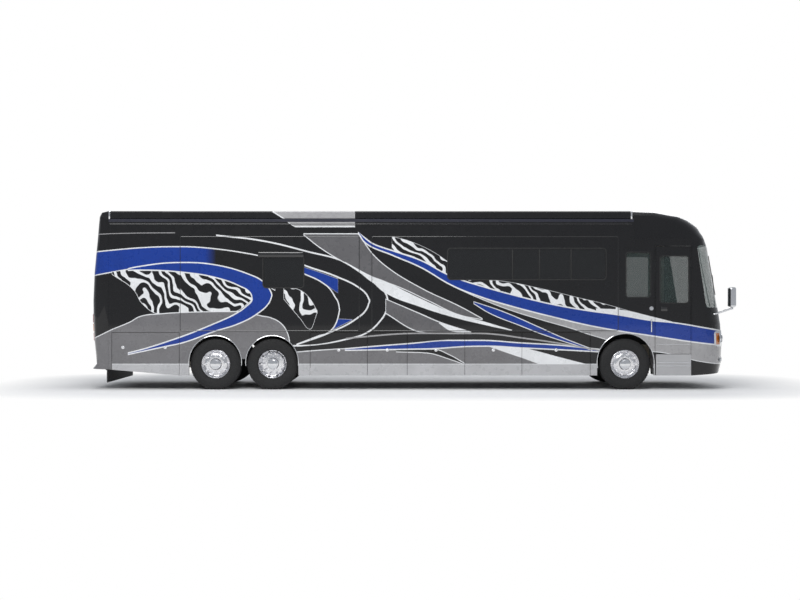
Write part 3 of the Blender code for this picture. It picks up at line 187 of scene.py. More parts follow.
class Shader:
    """A material's node tree, with a short call for each kind of node used here."""

    def __init__(self, name):
        self.material = bpy.data.materials.new(name)
        self.material.use_nodes = True
        self.tree = self.material.node_tree
        self.principled = self.tree.nodes["Principled BSDF"]
        self.place = self.new("ShaderNodeTexCoord").outputs["Object"]

    def new(self, kind, **settings):
        node = self.tree.nodes.new(kind)
        for key, value in settings.items():
            setattr(node, key, value)
        return node

    def feed(self, socket, value):
        if isinstance(value, bpy.types.NodeSocket):
            self.tree.links.new(value, socket)
        else:
            socket.default_value = value

    def math(self, operation, a, b=0.0, clamp=False):
        node = self.new("ShaderNodeMath", operation=operation, use_clamp=clamp)
        self.feed(node.inputs[0], a)
        self.feed(node.inputs[1], b)
        return node.outputs[0]

    def mix(self, share, a, b):
        node = self.new("ShaderNodeMix", data_type="RGBA")
        self.feed(node.inputs["Factor"], share)
        self.feed(node.inputs["A"], a)
        self.feed(node.inputs["B"], b)
        return node.outputs["Result"]

    def noise(self, scale, detail=2.0, distortion=0.0):
        node = self.new("ShaderNodeTexNoise")
        self.feed(node.inputs["Vector"], self.place)
        self.feed(node.inputs["Scale"], scale)
        self.feed(node.inputs["Detail"], detail)
        self.feed(node.inputs["Distortion"], distortion)
        return node.outputs["Fac"]

    def spread(self, value, low, high, new_low, new_high):
        node = self.new("ShaderNodeMapRange")
        for socket, number in zip(node.inputs, (value, low, high, new_low, new_high)):
            self.feed(socket, number)
        return node.outputs[0]

    def bump(self, value, strength, distance):
        node = self.new("ShaderNodeBump")
        self.feed(node.inputs["Strength"], strength)
        self.feed(node.inputs["Distance"], distance)
        self.feed(node.inputs["Height"], value)
        self.tree.links.new(node.outputs["Normal"], self.principled.inputs["Normal"])

    def axes(self):
        node = self.new("ShaderNodeSeparateXYZ")
        self.feed(node.inputs[0], self.place)
        return node.outputs

    def set(self, **values):
        for key, value in values.items():
            self.feed(self.principled.inputs[key.replace("_", " ")], value)
        return self.material


def finish_of(name, colour, roughness, metallic=0.0, grain=40.0, vary=0.25, bump=0.0005, coat=0.0):
    """A surface with fine grain, colour variation and uneven gloss."""
    shader = Shader(name)
    cloud = shader.noise(grain * 0.15, 4.0)
    dark = tuple(channel * (1 - vary) for channel in colour[:3]) + (1,)
    shader.set(Base_Color=shader.mix(cloud, dark, colour), Metallic=metallic,
               Roughness=shader.spread(shader.noise(grain * 0.4, 3.0), 0.3, 0.7, roughness * 0.85,
                                       roughness * 1.2),
               Coat_Weight=coat, Coat_Roughness=0.05)
    shader.bump(shader.noise(grain * 4, 5.0), 0.25, bump)
    return shader.material


def painted_curve(shader, column, points):
    """The height of a painted edge at each column, as a share of the page."""
    low, high = points[0][0], points[-1][0]
    share = shader.spread(column, low, high, 0.0, 1.0)
    node = shader.new("ShaderNodeFloatCurve")
    curve = node.mapping.curves[0]
    places = [((x - low) / (high - low), (PAGE_FOOT_PX - y) / (PAGE_FOOT_PX - PAGE_TOP_PX)) for x,
              y in points]
    for place in places[1:-1]:
        curve.points.new(*place)
    curve.points[0].location = places[0]
    curve.points[-1].location = places[-1]
    for point in curve.points:
        point.handle_type = "AUTO_CLAMPED"
    node.mapping.update()
    shader.feed(node.inputs["Value"], share)
    return node.outputs[0]


def between(shader, column, row, top, foot):
    """1 inside the shape between an upper and a lower edge, with edges a fraction of a pixel soft."""
    page = PAGE_FOOT_PX - PAGE_TOP_PX
    soft = page * 2.5
    under = shader.math("MULTIPLY_ADD", shader.math("SUBTRACT", painted_curve(shader, column, top), row),
                        soft, True)
    over = shader.math("MULTIPLY_ADD", shader.math("SUBTRACT", row, painted_curve(shader, column, foot)),
                       soft, True)
    low, high = top[0][0], top[-1][0]
    inside = shader.math("MULTIPLY", shader.math("GREATER_THAN", column, low),
                         shader.math("LESS_THAN", column, high))
    return shader.math("MULTIPLY", inside, shader.math("MULTIPLY", under, over))


def grown(top, foot, width):
    """The upper and lower edges of a shape, moved outwards by a width, normal to each edge."""

    def moved(points, sign):
        found = []
        for i, point in enumerate(points):
            before, after = points[max(i - 1, 0)], points[min(i + 1, len(points) - 1)]
            run, fall = after[0] - before[0], after[1] - before[1]
            size = math.hypot(run, fall)
            found.append((point[0] + sign * fall / size * width, point[1] - sign * run / size * width))
        return found

    upper, lower = moved(top, 1), moved(foot, -1)
    low, high = min(upper[0][0], lower[0][0]), max(upper[-1][0], lower[-1][0])
    for line in (upper, lower):
        line[0], line[-1] = (low, line[0][1]), (high, line[-1][1])
    return upper, lower


def paint(shader, colour, column, row, shape, fill=None, mask=None):
    """Lays one shape with its pinstripe over the colours so far."""
    tint, width, top, foot = shape
    edge = between(shader, column, row, *grown(top, foot, width))
    body = between(shader, column, row, top, foot)
    if mask is not None:
        edge, body = shader.math("MULTIPLY", edge, mask), shader.math("MULTIPLY", body, mask)
    return shader.mix(body, shader.mix(edge, colour, WHITE), tint if fill is None else fill)


def livery(name, lining=False):
    """The coach's clear-coated paint: blue bands, white pinstripes, greys and a plain marbling."""
    shader = Shader(name)
    x, y, z = shader.axes()
    column = shader.math("ADD", shader.math("MULTIPLY", x, 1 / PIXEL),
                         CENTRE_PX[0] - CAMERA_PLACE[0] / PIXEL)
    line = shader.math("SUBTRACT", CENTRE_PX[1] + CAMERA_PLACE[2] / PIXEL,
                       shader.math("MULTIPLY", z, 1 / PIXEL))
    row = shader.spread(line, PAGE_FOOT_PX, PAGE_TOP_PX, 0.0, 1.0)
    wave = shader.new("ShaderNodeTexWave", bands_direction="DIAGONAL")
    shader.feed(wave.inputs["Vector"], shader.place)
    for key, value in (("Scale", 2.3), ("Distortion", 15.0), ("Detail", 1.5), ("Detail Scale", 0.8)):
        shader.feed(wave.inputs[key], value)
    vein = shader.math("MULTIPLY_ADD", shader.math("SUBTRACT", wave.outputs["Fac"], 0.66), 9.0, True)
    marble = shader.mix(vein, BLACK, WHITE)
    colour = BLACK
    for shape in (DISC, GREY_WEDGE, WHITE_WEDGE, SIDE_TRIANGLE, WHITE_TRIANGLE):
        colour = paint(shader, colour, column, row, shape)
    for shape in (RING_OUT, RING_TOP_BLUE, RING_LOW_BLUE, RING_IN):
        colour = paint(shader, colour, column, row, shape)
    colour = paint(shader, colour, column, row, SWIRL_WHEEL, marble)
    fade = shader.spread(column, 205.0, 216.0, 0.0, 1.0)
    colour = paint(shader, colour, column, row, BLUE_REAR, shader.mix(fade, BLUE, BLACK))
    colour = paint(shader, colour, column, row, SWIRL_REAR, marble)
    for shape in (LOW_GREY_REAR, LOW_GREY_MIDDLE, LOW_WHITE, LOW_STREAK, SILVER_BAND, FRONT_GREY,
                  LOWER_LENS, LITTLE_LEAF):
        colour = paint(shader, colour, column, row, shape)
    hollow = between(shader, column, row, *C_IN[2:])
    shrunk = between(shader, column, row, *grown(C_IN[2], C_IN[3], -C_IN[1]))
    ring = shader.math("SUBTRACT", 1.0, shrunk, True)
    colour = paint(shader, colour, column, row, C_OUT, shader.mix(hollow, BLUE, WHITE), ring)
    for shape in (SWIRL_HIGH, SWIRL_LONG):
        colour = paint(shader, colour, column, row, shape, marble)
    for shape in (FRONT_WHITE, MAIN_BAND, ROOF_PANEL):
        colour = paint(shader, colour, column, row, shape)
    for points, width in ((LONG_LINE, 0.7), (HIGH_LINE, 0.35)):
        upper = [(px, py - width) for px, py in points]
        lower = [(px, py + width) for px, py in points]
        colour = shader.mix(between(shader, column, row, upper, lower), colour, LIGHT)
    if lining:
        inner = shader.math("LESS_THAN", shader.math("ABSOLUTE", y), HALF_WIDTH - LINING_DEPTH)
        colour = shader.mix(inner, colour, LINING)
    tone = shader.spread(shader.noise(2.2, 3.0), 0.3, 0.7, 0.92, 1.05)
    tinted = shader.new("ShaderNodeHueSaturation")
    shader.feed(tinted.inputs["Value"], tone)
    shader.feed(tinted.inputs["Color"], colour)
    shader.set(Base_Color=tinted.outputs["Color"], Metallic=0.1, Coat_Weight=0.55, Coat_Roughness=0.03,
               Specular_IOR_Level=0.25, Roughness=shader.spread(shader.noise(9.0, 4.0), 0.3, 0.7, 0.24,
                                                                0.34))
    shader.bump(shader.noise(60.0, 2.0), 0.02, 0.0003)
    return shader.material


def glass_of(name, tint, alpha):
    """Tinted glass that shows what is behind it darkly, with a faint film."""
    shader = Shader(name)
    shader.set(Base_Color=shader.mix(shader.noise(3.0, 2.0), tint, tuple(c * 1.3 for c in tint[:3]) + (1,)),
               Roughness=0.04, Alpha=alpha, IOR=1.5, Specular_IOR_Level=0.6)
    return shader.material


LIVERY = livery("coach_paint")
LINED = livery("coach_paint_lined", lining=True)
GEL = finish_of("roof_gel_coat", (0.70, 0.70, 0.69, 1), 0.42, grain=25, vary=0.12)
SEAL = finish_of("black_rubber_seal", (0.012, 0.012, 0.012, 1), 0.6, grain=90)
GLOSS_BLACK = finish_of("gloss_black_trim", (0.006, 0.006, 0.007, 1), 0.16, grain=20, coat=0.8)
CHROME = finish_of("bright_chrome", (0.75, 0.76, 0.78, 1), 0.08, 1.0, 15, 0.06, 0.0001)
ALLOY = finish_of("polished_alloy", (0.80, 0.80, 0.82, 1), 0.15, 1.0, 60, 0.12, 0.0002)
STEEL = finish_of("painted_frame", (0.022, 0.022, 0.023, 1), 0.55, 0.3, 50, 0.4, 0.001)
RUBBER = finish_of("tyre_rubber", (0.014, 0.014, 0.0145, 1), 0.72, 0.0, 120, 0.35, 0.0006)
MAT = finish_of("guard_rubber_sheet", (0.018, 0.018, 0.019, 1), 0.65, 0.0, 90, 0.35, 0.001)
PLASTIC = finish_of("dash_plastic_grain", (0.035, 0.032, 0.03, 1), 0.6, 0.0, 200, 0.2, 0.0008)
FLOORING = finish_of("cabin_floor_cover", (0.20, 0.16, 0.12, 1), 0.45, 0.0, 18, 0.4, 0.0004)
STEP_PAINT = finish_of("step_paint", SILVER, 0.35, 0.25, 35, 0.12, 0.0003, 0.4)
LEATHER = finish_of("seat_leather", (0.38, 0.29, 0.20, 1), 0.5, 0.0, 150, 0.25, 0.0012)
LENS_WHITE = finish_of("lamp_lens_clear", (0.62, 0.64, 0.66, 1), 0.08, 0.55, 30, 0.2, 0.0002, 0.9)
LENS_RED = finish_of("lamp_lens_red", (0.30, 0.008, 0.006, 1), 0.12, 0.0, 60, 0.3, 0.0004, 0.9)
LENS_AMBER = finish_of("lamp_lens_amber", (0.60, 0.16, 0.01, 1), 0.12, 0.0, 60, 0.3, 0.0004, 0.9)
SIDE_GLASS = glass_of("dark_side_glass", (0.006, 0.0065, 0.007, 1), 0.93)
CAB_GLASS = glass_of("cab_glass", (0.03, 0.045, 0.042, 1), 0.50)
SCREEN_GLASS = glass_of("windscreen_glass", (0.10, 0.14, 0.13, 1), 0.36)

NODE_FINISHES = {
    "awning_housing": LIVERY, "engine_side_door": LIVERY, "engine_hatch": LIVERY, "basement_tray": STEEL,
    "chassis_frame": STEEL, "drive_axle_housing": STEEL, "front_axle_beam": STEEL, "tag_axle_beam": STEEL,
    "knuckle_right": STEEL, "knuckle_left": STEEL, "engine_block": STEEL, "cabin_floor": FLOORING,
    "dashboard": PLASTIC, "entry_step": STEP_PAINT, "rock_guard": MAT, "windscreen": SCREEN_GLASS,
    "cab_window_left": CAB_GLASS, "cab_window_right": CAB_GLASS, "entry_door_glass": CAB_GLASS,
    "headlamp_left": LENS_WHITE, "headlamp_right": LENS_WHITE, "mirror_left": CHROME,
                 "mirror_right": CHROME,
                 "sidewall_left": LINED, "sidewall_right": LINED, "slideout_left": LINED,
                 "slideout_right_front": LINED,
                 "slideout_right_rear": LINED, "entry_door": LINED,
                 }


def roof_finish():
    """White gel coat over the top, and the dark band down the roof's two side edges."""
    shader = Shader("roof_gel_and_band")
    y = shader.axes()[1]
    side = shader.math("GREATER_THAN", shader.math("ABSOLUTE", y), HALF_WIDTH - SIDE_BAND)
    gel = shader.mix(shader.noise(4.0, 4.0), (0.62, 0.62, 0.61, 1), (0.70, 0.70, 0.69, 1))
    shader.set(Base_Color=shader.mix(side, gel, NAVY),
               Roughness=shader.spread(shader.noise(9.0, 3.0), 0.3, 0.7, 0.36, 0.48))
    shader.bump(shader.noise(90.0, 4.0), 0.2, 0.0005)
    return shader.material


def dress(node, material, edge=0.003):
    """A CAD node keeps its mesh and gets its material and a fine edge radius."""
    thing = frame["nodes"][node]
    thing.data.materials.clear()
    thing.data.materials.append(material)
    weld = thing.modifiers.new("weld", "WELD")
    weld.merge_threshold = 0.00005
    bevel = thing.modifiers.new("edge", "BEVEL")
    bevel.width, bevel.segments, bevel.limit_method = edge, 2, "ANGLE"
    bevel.angle_limit = math.radians(40)
    bevel.harden_normals = True


def dress_nodes():
    """Every CAD node that shows gets its finish."""
    for node in frame["nodes"]:
        material = NODE_FINISHES.get(node)
        if material is None and node.startswith("bay_door"):
            material = LINED
        if material is None and node.endswith("_glass"):
            material = SIDE_GLASS
        if material is not None:
            dress(node, material, 0.0006 if "glass" in node or "window" in node else 0.003)


def piece(name, shape, material, body, smooth_angle=35, replaces=()):
    """A finished mesh, riding on its body."""
    mesh = bpy.data.meshes.new(name)
    bmesh.ops.recalc_face_normals(shape, faces=shape.faces)
    shape.to_mesh(mesh)
    shape.free()
    mesh.shade_smooth()
    mesh.set_sharp_from_angle(angle=math.radians(smooth_angle))
    mesh.materials.append(material)
    thing = bpy.data.objects.new(name, mesh)
    bpy.context.scene.collection.objects.link(thing)
    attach(thing, body)
    if replaces:
        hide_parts(*replaces)
    return thing


def add_box(shape, low, high, edge=0.0):
    """A box between two corners, with rounded edges where an edge radius is given."""
    made = bmesh.ops.create_cube(shape, size=1)["verts"]
    low, high = Vector(low), Vector(high)
    for vertex in made:
        vertex.co = Vector([low[i] + (vertex.co[i] + 0.5) * (high[i] - low[i]) for i in range(3)])
    if edge:
        edges = {link for vertex in made for link in vertex.link_edges}
        bmesh.ops.bevel(shape, geom=list(edges), offset=edge, segments=2, affect="EDGES", profile=0.5)


def add_turned(shape, profile, centre, side, segments=48, about_x=False):
    """A profile of (radius, outward) turned about a line along Y, or along X."""
    rings = []
    for i in range(segments):
        angle = 2 * math.pi * i / segments
        ring = []
        for r, out in profile:
            across, up = r * math.sin(angle), r * math.cos(angle)
            offset = (side * out, across, up) if about_x else (across, side * out, up)
            ring.append(shape.verts.new([middle + way for middle, way in zip(centre, offset)]))
        rings.append(ring)
    for i in range(segments):
        here, following = rings[i], rings[(i + 1) % segments]
        for j in range(len(profile) - 1):
            shape.faces.new((here[j], here[j + 1], following[j + 1], following[j]))


def add_rod(shape, start, end, radius, segments=16, radius_end=None):
    """A round rod between two points."""
    start, end = Vector(start), Vector(end)
    turn = Vector((0, 0, 1)).rotation_difference(end - start).to_matrix().to_4x4()
    place = Matrix.Translation((start + end) / 2) @ turn
    bmesh.ops.create_cone(shape, cap_ends=True, segments=segments, radius1=radius,
                          radius2=radius if radius_end is None else radius_end,
                          depth=(end - start).length, matrix=place)


def surface_of(node):
    """A search tree over a CAD node, for setting trim on its face."""
    thing = frame["nodes"][node]
    vertices = [vertex.co.copy() for vertex in thing.data.vertices]
    return BVHTree.FromPolygons(vertices, [tuple(polygon.vertices) for polygon in thing.data.polygons])


FRONT_FACE, REAR_FACE = surface_of("front_cap"), surface_of("rear_cap")
SCREEN_FACE, HATCH_FACE = surface_of("windscreen"), surface_of("engine_hatch")
RAY_START = 9.0


def reach(trees, facing, y, z):
    """The outermost X of the named faces at a place across and up."""
    found = []
    for tree in trees:
        spot = tree.ray_cast(Vector((facing * RAY_START, y, z)), Vector((-facing, 0, 0)))[0]
        if spot is not None:
            found.append(spot.x)
    return (max(found) if facing > 0 else min(found)) if found else None


def add_patch(shape, trees, facing, across, up, proud, depth, columns=24, rows=8):
    """A panel that follows a cap's face, between two places across and two heights."""
    low, high = up
    grid = []
    for j in range(rows + 1):
        line = []
        for i in range(columns + 1):
            y = across[0] + (across[1] - across[0]) * i / columns
            z = low + (high - low) * j / rows
            x = reach(trees, facing, y, z)
            line.append(None if x is None else Vector((x, y, z)))
        grid.append(line)
    outer = [[None] * (columns + 1) for _ in range(rows + 1)]
    inner = [[None] * (columns + 1) for _ in range(rows + 1)]
    for j, line in enumerate(grid):
        for i, spot in enumerate(line):
            if spot is None:
                continue
            outer[j][i] = shape.verts.new(spot + Vector((facing * proud, 0, 0)))
            inner[j][i] = shape.verts.new(spot - Vector((facing * depth, 0, 0)))
    if any(vertex is None for line in outer for vertex in line):
        return
    for j in range(rows):
        for i in range(columns):
            shape.faces.new((outer[j][i], outer[j][i + 1], outer[j + 1][i + 1], outer[j + 1][i]))
            shape.faces.new((inner[j][i], inner[j + 1][i], inner[j + 1][i + 1], inner[j][i + 1]))
    for i in range(columns):
        shape.faces.new((outer[0][i], inner[0][i], inner[0][i + 1], outer[0][i + 1]))
        shape.faces.new((outer[rows][i], outer[rows][i + 1], inner[rows][i + 1], inner[rows][i]))
    for j in range(rows):
        shape.faces.new((outer[j][0], outer[j + 1][0], inner[j + 1][0], inner[j][0]))
        shape.faces.new((outer[j][columns], inner[j][columns], inner[j + 1][columns],
                         outer[j + 1][columns]))


def patches(name, trees, facing, across, rises, proud, depth, columns, rows, material, body="coach"):
    """One piece of panels on a cap's face, with one panel for each pair of heights."""
    shape = bmesh.new()
    for rise in rises:
        add_patch(shape, trees, facing, across, rise, proud, depth, columns, rows)
    piece(name, shape, material, body)


def even_rises(foot, step, rise, count):
    """Bars one above the other at even steps, each as its lower and upper height."""
    return [(foot + k * step, foot + k * step + rise) for k in range(count)]


def skin(name, node, material, angle=32):
    """A smooth-shaded skin in a cap's own form, standing for the faceted one."""
    shape = bmesh.new()
    shape.from_mesh(frame["nodes"][node].data)
    bmesh.ops.remove_doubles(shape, verts=shape.verts, dist=0.00005)
    bmesh.ops.dissolve_limit(shape, angle_limit=math.radians(0.5), verts=shape.verts, edges=shape.edges)
    return piece(name, shape, material, frame["nodes"][node]["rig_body"], angle, (node,))


# One half of the tyre's section, from bead to tread, as (share of radius, share of half width)
TREAD_SHARES = [(1.0, 0.74), (0.974, 0.72), (0.974, 0.67), (1.0, 0.65), (1.0, 0.40), (0.974, 0.38),
                (0.974, 0.33),
                (1.0, 0.31), (1.0, 0.07), (0.974, 0.05)]
SIDE_SHARES = [(0.566, 0.80), (0.575, 0.90), (0.60, 0.93), (0.606, 0.95), (0.614, 0.95), (0.62, 0.935),
               (0.68, 0.975),
               (0.74, 0.995), (0.80, 1.0), (0.806, 1.0), (0.812, 0.99), (0.84, 0.985), (0.846, 0.995),
               (0.86, 0.99),
               (0.90, 0.965), (0.906, 0.95), (0.93, 0.93), (0.955, 0.90)]
TYRE_HALF_WIDTH = 0.153
LUGS = 54


def tyre(name, node, body):
    """A radial tyre with ribs round its sides, five grooves and lugged shoulders."""
    low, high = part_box(node)
    centre = (low + high) / 2
    half = SIDE_SHARES + [(0.985, 0.86), (1.0, 0.82)] + TREAD_SHARES
    section = [(r, w) for r, w in half] + [(r, -w) for r, w in reversed(half)]
    shape = bmesh.new()
    segments = LUGS * 3
    rings = []
    for i in range(segments):
        angle = 2 * math.pi * i / segments
        gap = i % 3 == 0
        ring = []
        for r, w in section:
            radius = r * TYRE_RADIUS
            if gap and r > 0.95 and abs(w) > 0.7:
                radius -= TYRE_RADIUS * 0.02
            ring.append(shape.verts.new((centre.x + radius * math.sin(angle),
                                         centre.y + w * TYRE_HALF_WIDTH,
                                         centre.z + radius * math.cos(angle))))
        rings.append(ring)
    for i in range(segments):
        here, following = rings[i], rings[(i + 1) % segments]
        for j in range(len(section)):
            k = (j + 1) % len(section)
            shape.faces.new((here[j], here[k], following[k], following[j]))
    return piece(name, shape, RUBBER, body, 28, (node,))


# Wheel discs, as (radius, outward from the flange's plane) in metres
RIM_BARREL = [(0.300, 0.0), (0.302, -0.004), (0.298, -0.012), (0.286, -0.016), (0.281, -0.030)]
FACE_OUTWARD = [(0.272, -0.050), (0.262, -0.052), (0.252, -0.040), (0.236, -0.024), (0.205, -0.010),
                (0.190, -0.004),
                (0.150, -0.002), (0.128, -0.002), (0.122, 0.004)]
FACE_INWARD = [(0.268, -0.080), (0.258, -0.125), (0.246, -0.150), (0.226, -0.162), (0.195, -0.160),
               (0.150, -0.158),
               (0.122, -0.156)]
HAND_HOLES = 10
HOLE_RADIUS = 0.021
NUT_RING = 0.1675


def wheel(name, node, body, side, dished):
    """A polished disc wheel with ten hand holes, ten nuts and its hub cap."""
    low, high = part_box(node)
    centre_x, centre_z = (low.x + high.x) / 2, (low.z + high.z) / 2
    flange = 1.207
    face = FACE_INWARD if dished else FACE_OUTWARD
    front = RIM_BARREL + face
    thick = 0.012
    back = [(0.122, face[-1][1] - thick), (0.19, face[-2][1] - thick - 0.004),
            (0.235, -0.05 if not dished else -0.178),
            (0.262, -0.075 if not dished else -0.165), (0.270, -0.12 if not dished else -0.19),
            (0.270, -0.225),
            (0.298, -0.245), (0.302, -0.254), (0.290, -0.250), (0.276, -0.235), (0.276, -0.04),
            (0.292, -0.012)]
    centre = (centre_x, side * flange, centre_z)
    shape = bmesh.new()
    add_turned(shape, front + back + [front[0]], centre, side, 80)
    bmesh.ops.remove_doubles(shape, verts=shape.verts, dist=0.00005)
    bmesh.ops.recalc_face_normals(shape, faces=shape.faces)
    cutters = bmesh.new()
    ring = 0.226
    for i in range(HAND_HOLES):
        angle = 2 * math.pi * (i + 0.5) / HAND_HOLES
        spot = Vector((centre_x + ring * math.sin(angle), centre[1], centre_z + ring * math.cos(angle)))
        add_rod(cutters, spot + Vector((0, side * 0.05, 0)), spot - Vector((0, side * 0.235, 0)),
                HOLE_RADIUS, 20)
    body_piece = piece(name, shape, ALLOY, body, 30, (node,))
    cut_with(body_piece, cutters)
    trim = bmesh.new()
    seat = face[-3][1]
    for i in range(HAND_HOLES):
        angle = 2 * math.pi * i / HAND_HOLES
        spot = Vector((centre_x + NUT_RING * math.sin(angle), centre[1] + side * seat,
                       centre_z + NUT_RING * math.cos(angle)))
        add_rod(trim, spot, spot + Vector((0, side * 0.022, 0)), 0.0165, 6)
        add_rod(trim, spot + Vector((0, side * 0.021, 0)), spot + Vector((0, side * 0.034, 0)), 0.013, 16,
                0.008)
    hub_out = 0.058 if not dished else -0.006
    hub = [(0.118, face[-1][1] - 0.004), (0.118, hub_out - 0.035 if not dished else -0.10),
           (0.108, hub_out - 0.018 if not dished else -0.09), (0.085,
                                                               hub_out - 0.012 if not dished else -0.085),
           (0.082, hub_out - 0.004), (0.07, hub_out), (0.0004, hub_out + 0.002)]
    add_turned(trim, hub, centre, side, 48)
    piece(name + "_hub", trim, CHROME, body, 30)


def cut_with(thing, cutters):
    """Cuts closed shapes out of a piece, for good."""
    mesh = bpy.data.meshes.new("cutters")
    cutters.to_mesh(mesh)
    cutters.free()
    tool = bpy.data.objects.new("cutters", mesh)
    bpy.context.scene.collection.objects.link(tool)
    boolean = thing.modifiers.new("cut", "BOOLEAN")
    boolean.object, boolean.operation, boolean.solver = tool, "DIFFERENCE", "EXACT"
    bpy.context.view_layer.update()
    evaluated = thing.evaluated_get(bpy.context.evaluated_depsgraph_get())
    made = bpy.data.meshes.new_from_object(evaluated)
    thing.modifiers.clear()
    thing.data = made
    bpy.data.objects.remove(tool)


def wheels():
    """The tyres and discs on every axle."""
    for side, word in ((RIGHT, "right"), (LEFT, "left")):
        for axle in ("front", "tag"):
            body = f"{axle}_wheel_{word}"
            tyre(f"{axle}_tread_{word}", f"{axle}_tyre_{word}", body)
            wheel(f"{axle}_disc_{word}", f"{axle}_rim_{word}", body, side, False)
        body = f"drive_wheels_{word}"
        for place in ("outer", "inner"):
            tyre(f"drive_tread_{place}_{word}", f"drive_tyre_{place}_{word}", body)
        wheel(f"drive_disc_{word}", f"drive_rims_{word}", body, side, True)


def frame_ring(shape, side, box, inset, face, width, proud, sunk, corner=0.06):
    """A rounded ring that stands a little off the side, an inset within a box's edges."""
    low, high = box
    rows, columns = (low.z + inset, high.z - inset), (low.x + inset, high.x - inset)
    outer, inner = [], []
    for grow, ring in ((width, outer), (0.0, inner)):
        low_x, high_x = columns[0] - grow, columns[1] + grow
        low_z, high_z = rows[0] - grow, rows[1] + grow
        radius = corner + grow
        for cx, cz, start in ((high_x - radius, high_z - radius, 0), (low_x + radius, high_z - radius, 90),
                              (low_x + radius, low_z + radius, 180),
                              (high_x - radius, low_z + radius, 270)):
            for step in range(7):
                angle = math.radians(start + step * 15)
                ring.append((cx + radius * math.cos(angle), cz + radius * math.sin(angle)))
    levels = [(outer, face - sunk), (outer, face + proud * 0.6), (None, face + proud),
              (inner, face + proud * 0.6),
              (inner, face - sunk)]
    middle = [((a[0] + b[0]) / 2, (a[1] + b[1]) / 2) for a, b in zip(outer, inner)]
    rings = [[shape.verts.new((x, side * y, z)) for x, z in (middle if ring is None else ring)] for ring,
             y in levels]
    for k in range(len(rings)):
        here, following = rings[k], rings[(k + 1) % len(rings)]
        for i in range(len(here)):
            j = (i + 1) % len(here)
            shape.faces.new((here[i], here[j], following[j], following[i]))


def window_trims():
    """Rubber frames and mullions round every side window."""
    rooms = (("slideout_right_rear", RIGHT, ()), ("slideout_left", LEFT, (0.33, 0.66)),
             ("slideout_right_front", RIGHT, (0.41, 0.58, 0.78)))
    for room, side, mullions in rooms:
        low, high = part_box(room + "_glass")
        shape = bmesh.new()
        frame_ring(shape, side, (low, high), 0.01, HALF_WIDTH + FASCIA, 0.022, 0.006, 0.002)
        for share in mullions:
            x = low.x + (high.x - low.x) * share
            ys = sorted((side * (HALF_WIDTH - 0.004), side * (HALF_WIDTH + 0.006)))
            add_box(shape, (x - 0.014, ys[0], low.z + 0.02), (x + 0.014, ys[1], high.z - 0.02), 0.003)
        piece(room + "_window_frame", shape, SEAL, room)
    for node, side, body in (("entry_door_glass", RIGHT, "entry_door"),
                             ("cab_window_right", RIGHT, "coach"),
                             ("cab_window_left", LEFT, "coach")):
        low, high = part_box(node)
        shape = bmesh.new()
        frame_ring(shape, side, (low, high), 0.008, HALF_WIDTH, 0.02, 0.005, 0.002, 0.05)
        piece(node + "_frame", shape, SEAL, body)


def fascia_trims():
    """The dark gloss seal round each slide-out room's fascia."""
    for room, side in (("slideout_right_rear", RIGHT), ("slideout_right_front", RIGHT),
                       ("slideout_left", LEFT)):
        low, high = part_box(room)
        shape = bmesh.new()
        frame_ring(shape, side, (low, high), 0.012, HALF_WIDTH + FASCIA, 0.010, 0.004, 0.003, 0.03)
        piece(room + "_fascia_seal", shape, GLOSS_BLACK, room)


def arch_trims():
    """The bright rolled lip round each wheel arch."""
    arches = (("front", 0.60, 0.585), ("drive", 0.555, 0.585), ("tag", 0.555, 0.585))
    for side, word in ((RIGHT, "right"), (LEFT, "left")):
        shape = bmesh.new()
        for axle, radius, rise in arches:
            steps = 40
            tilt = 12 if axle == "front" else 8
            spots = []
            for i in range(steps + 1):
                angle = math.radians(-tilt + (180 + 2 * tilt) * i / steps)
                spots.append(Vector((AXLES[axle] + (radius + 0.002) * math.cos(angle),
                                     side * (HALF_WIDTH - 0.001),
                                     rise + (radius + 0.002) * math.sin(angle))))
            for a, b in zip(spots, spots[1:]):
                if max(a.z, b.z) > 0.32:
                    add_rod(shape, a, b + (b - a) * 0.08, 0.009, 8)
        piece(f"arch_lips_{word}", shape, CHROME, "coach")


def latches():
    """Latches on the bay doors and the engine side door: a round plate with a lever."""
    for node in frame["nodes"]:
        if not (node.startswith("bay_door") or node == "engine_side_door"):
            continue
        low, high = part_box(node)
        side = RIGHT if low.y < 0 else LEFT
        xs = [(low.x + high.x) / 2] if node.startswith("bay_door") else [low.x + 0.24, high.x - 0.3]
        shape = bmesh.new()
        for x in xs:
            spot = Vector((x, side * HALF_WIDTH,
                           height(350) if node.startswith("bay_door") else height(347.4)))
            add_rod(shape, spot - Vector((0, side * 0.004, 0)), spot + Vector((0, side * 0.008, 0)), 0.038,
                    28, 0.034)
            out = sorted((side * (HALF_WIDTH + 0.006), side * (HALF_WIDTH + 0.018)))
            add_box(shape, (spot.x - 0.024, out[0], spot.z - 0.006),
                    (spot.x + 0.030, out[1], spot.z + 0.012), 0.003)
        piece(node + "_latch", shape, CHROME, node)


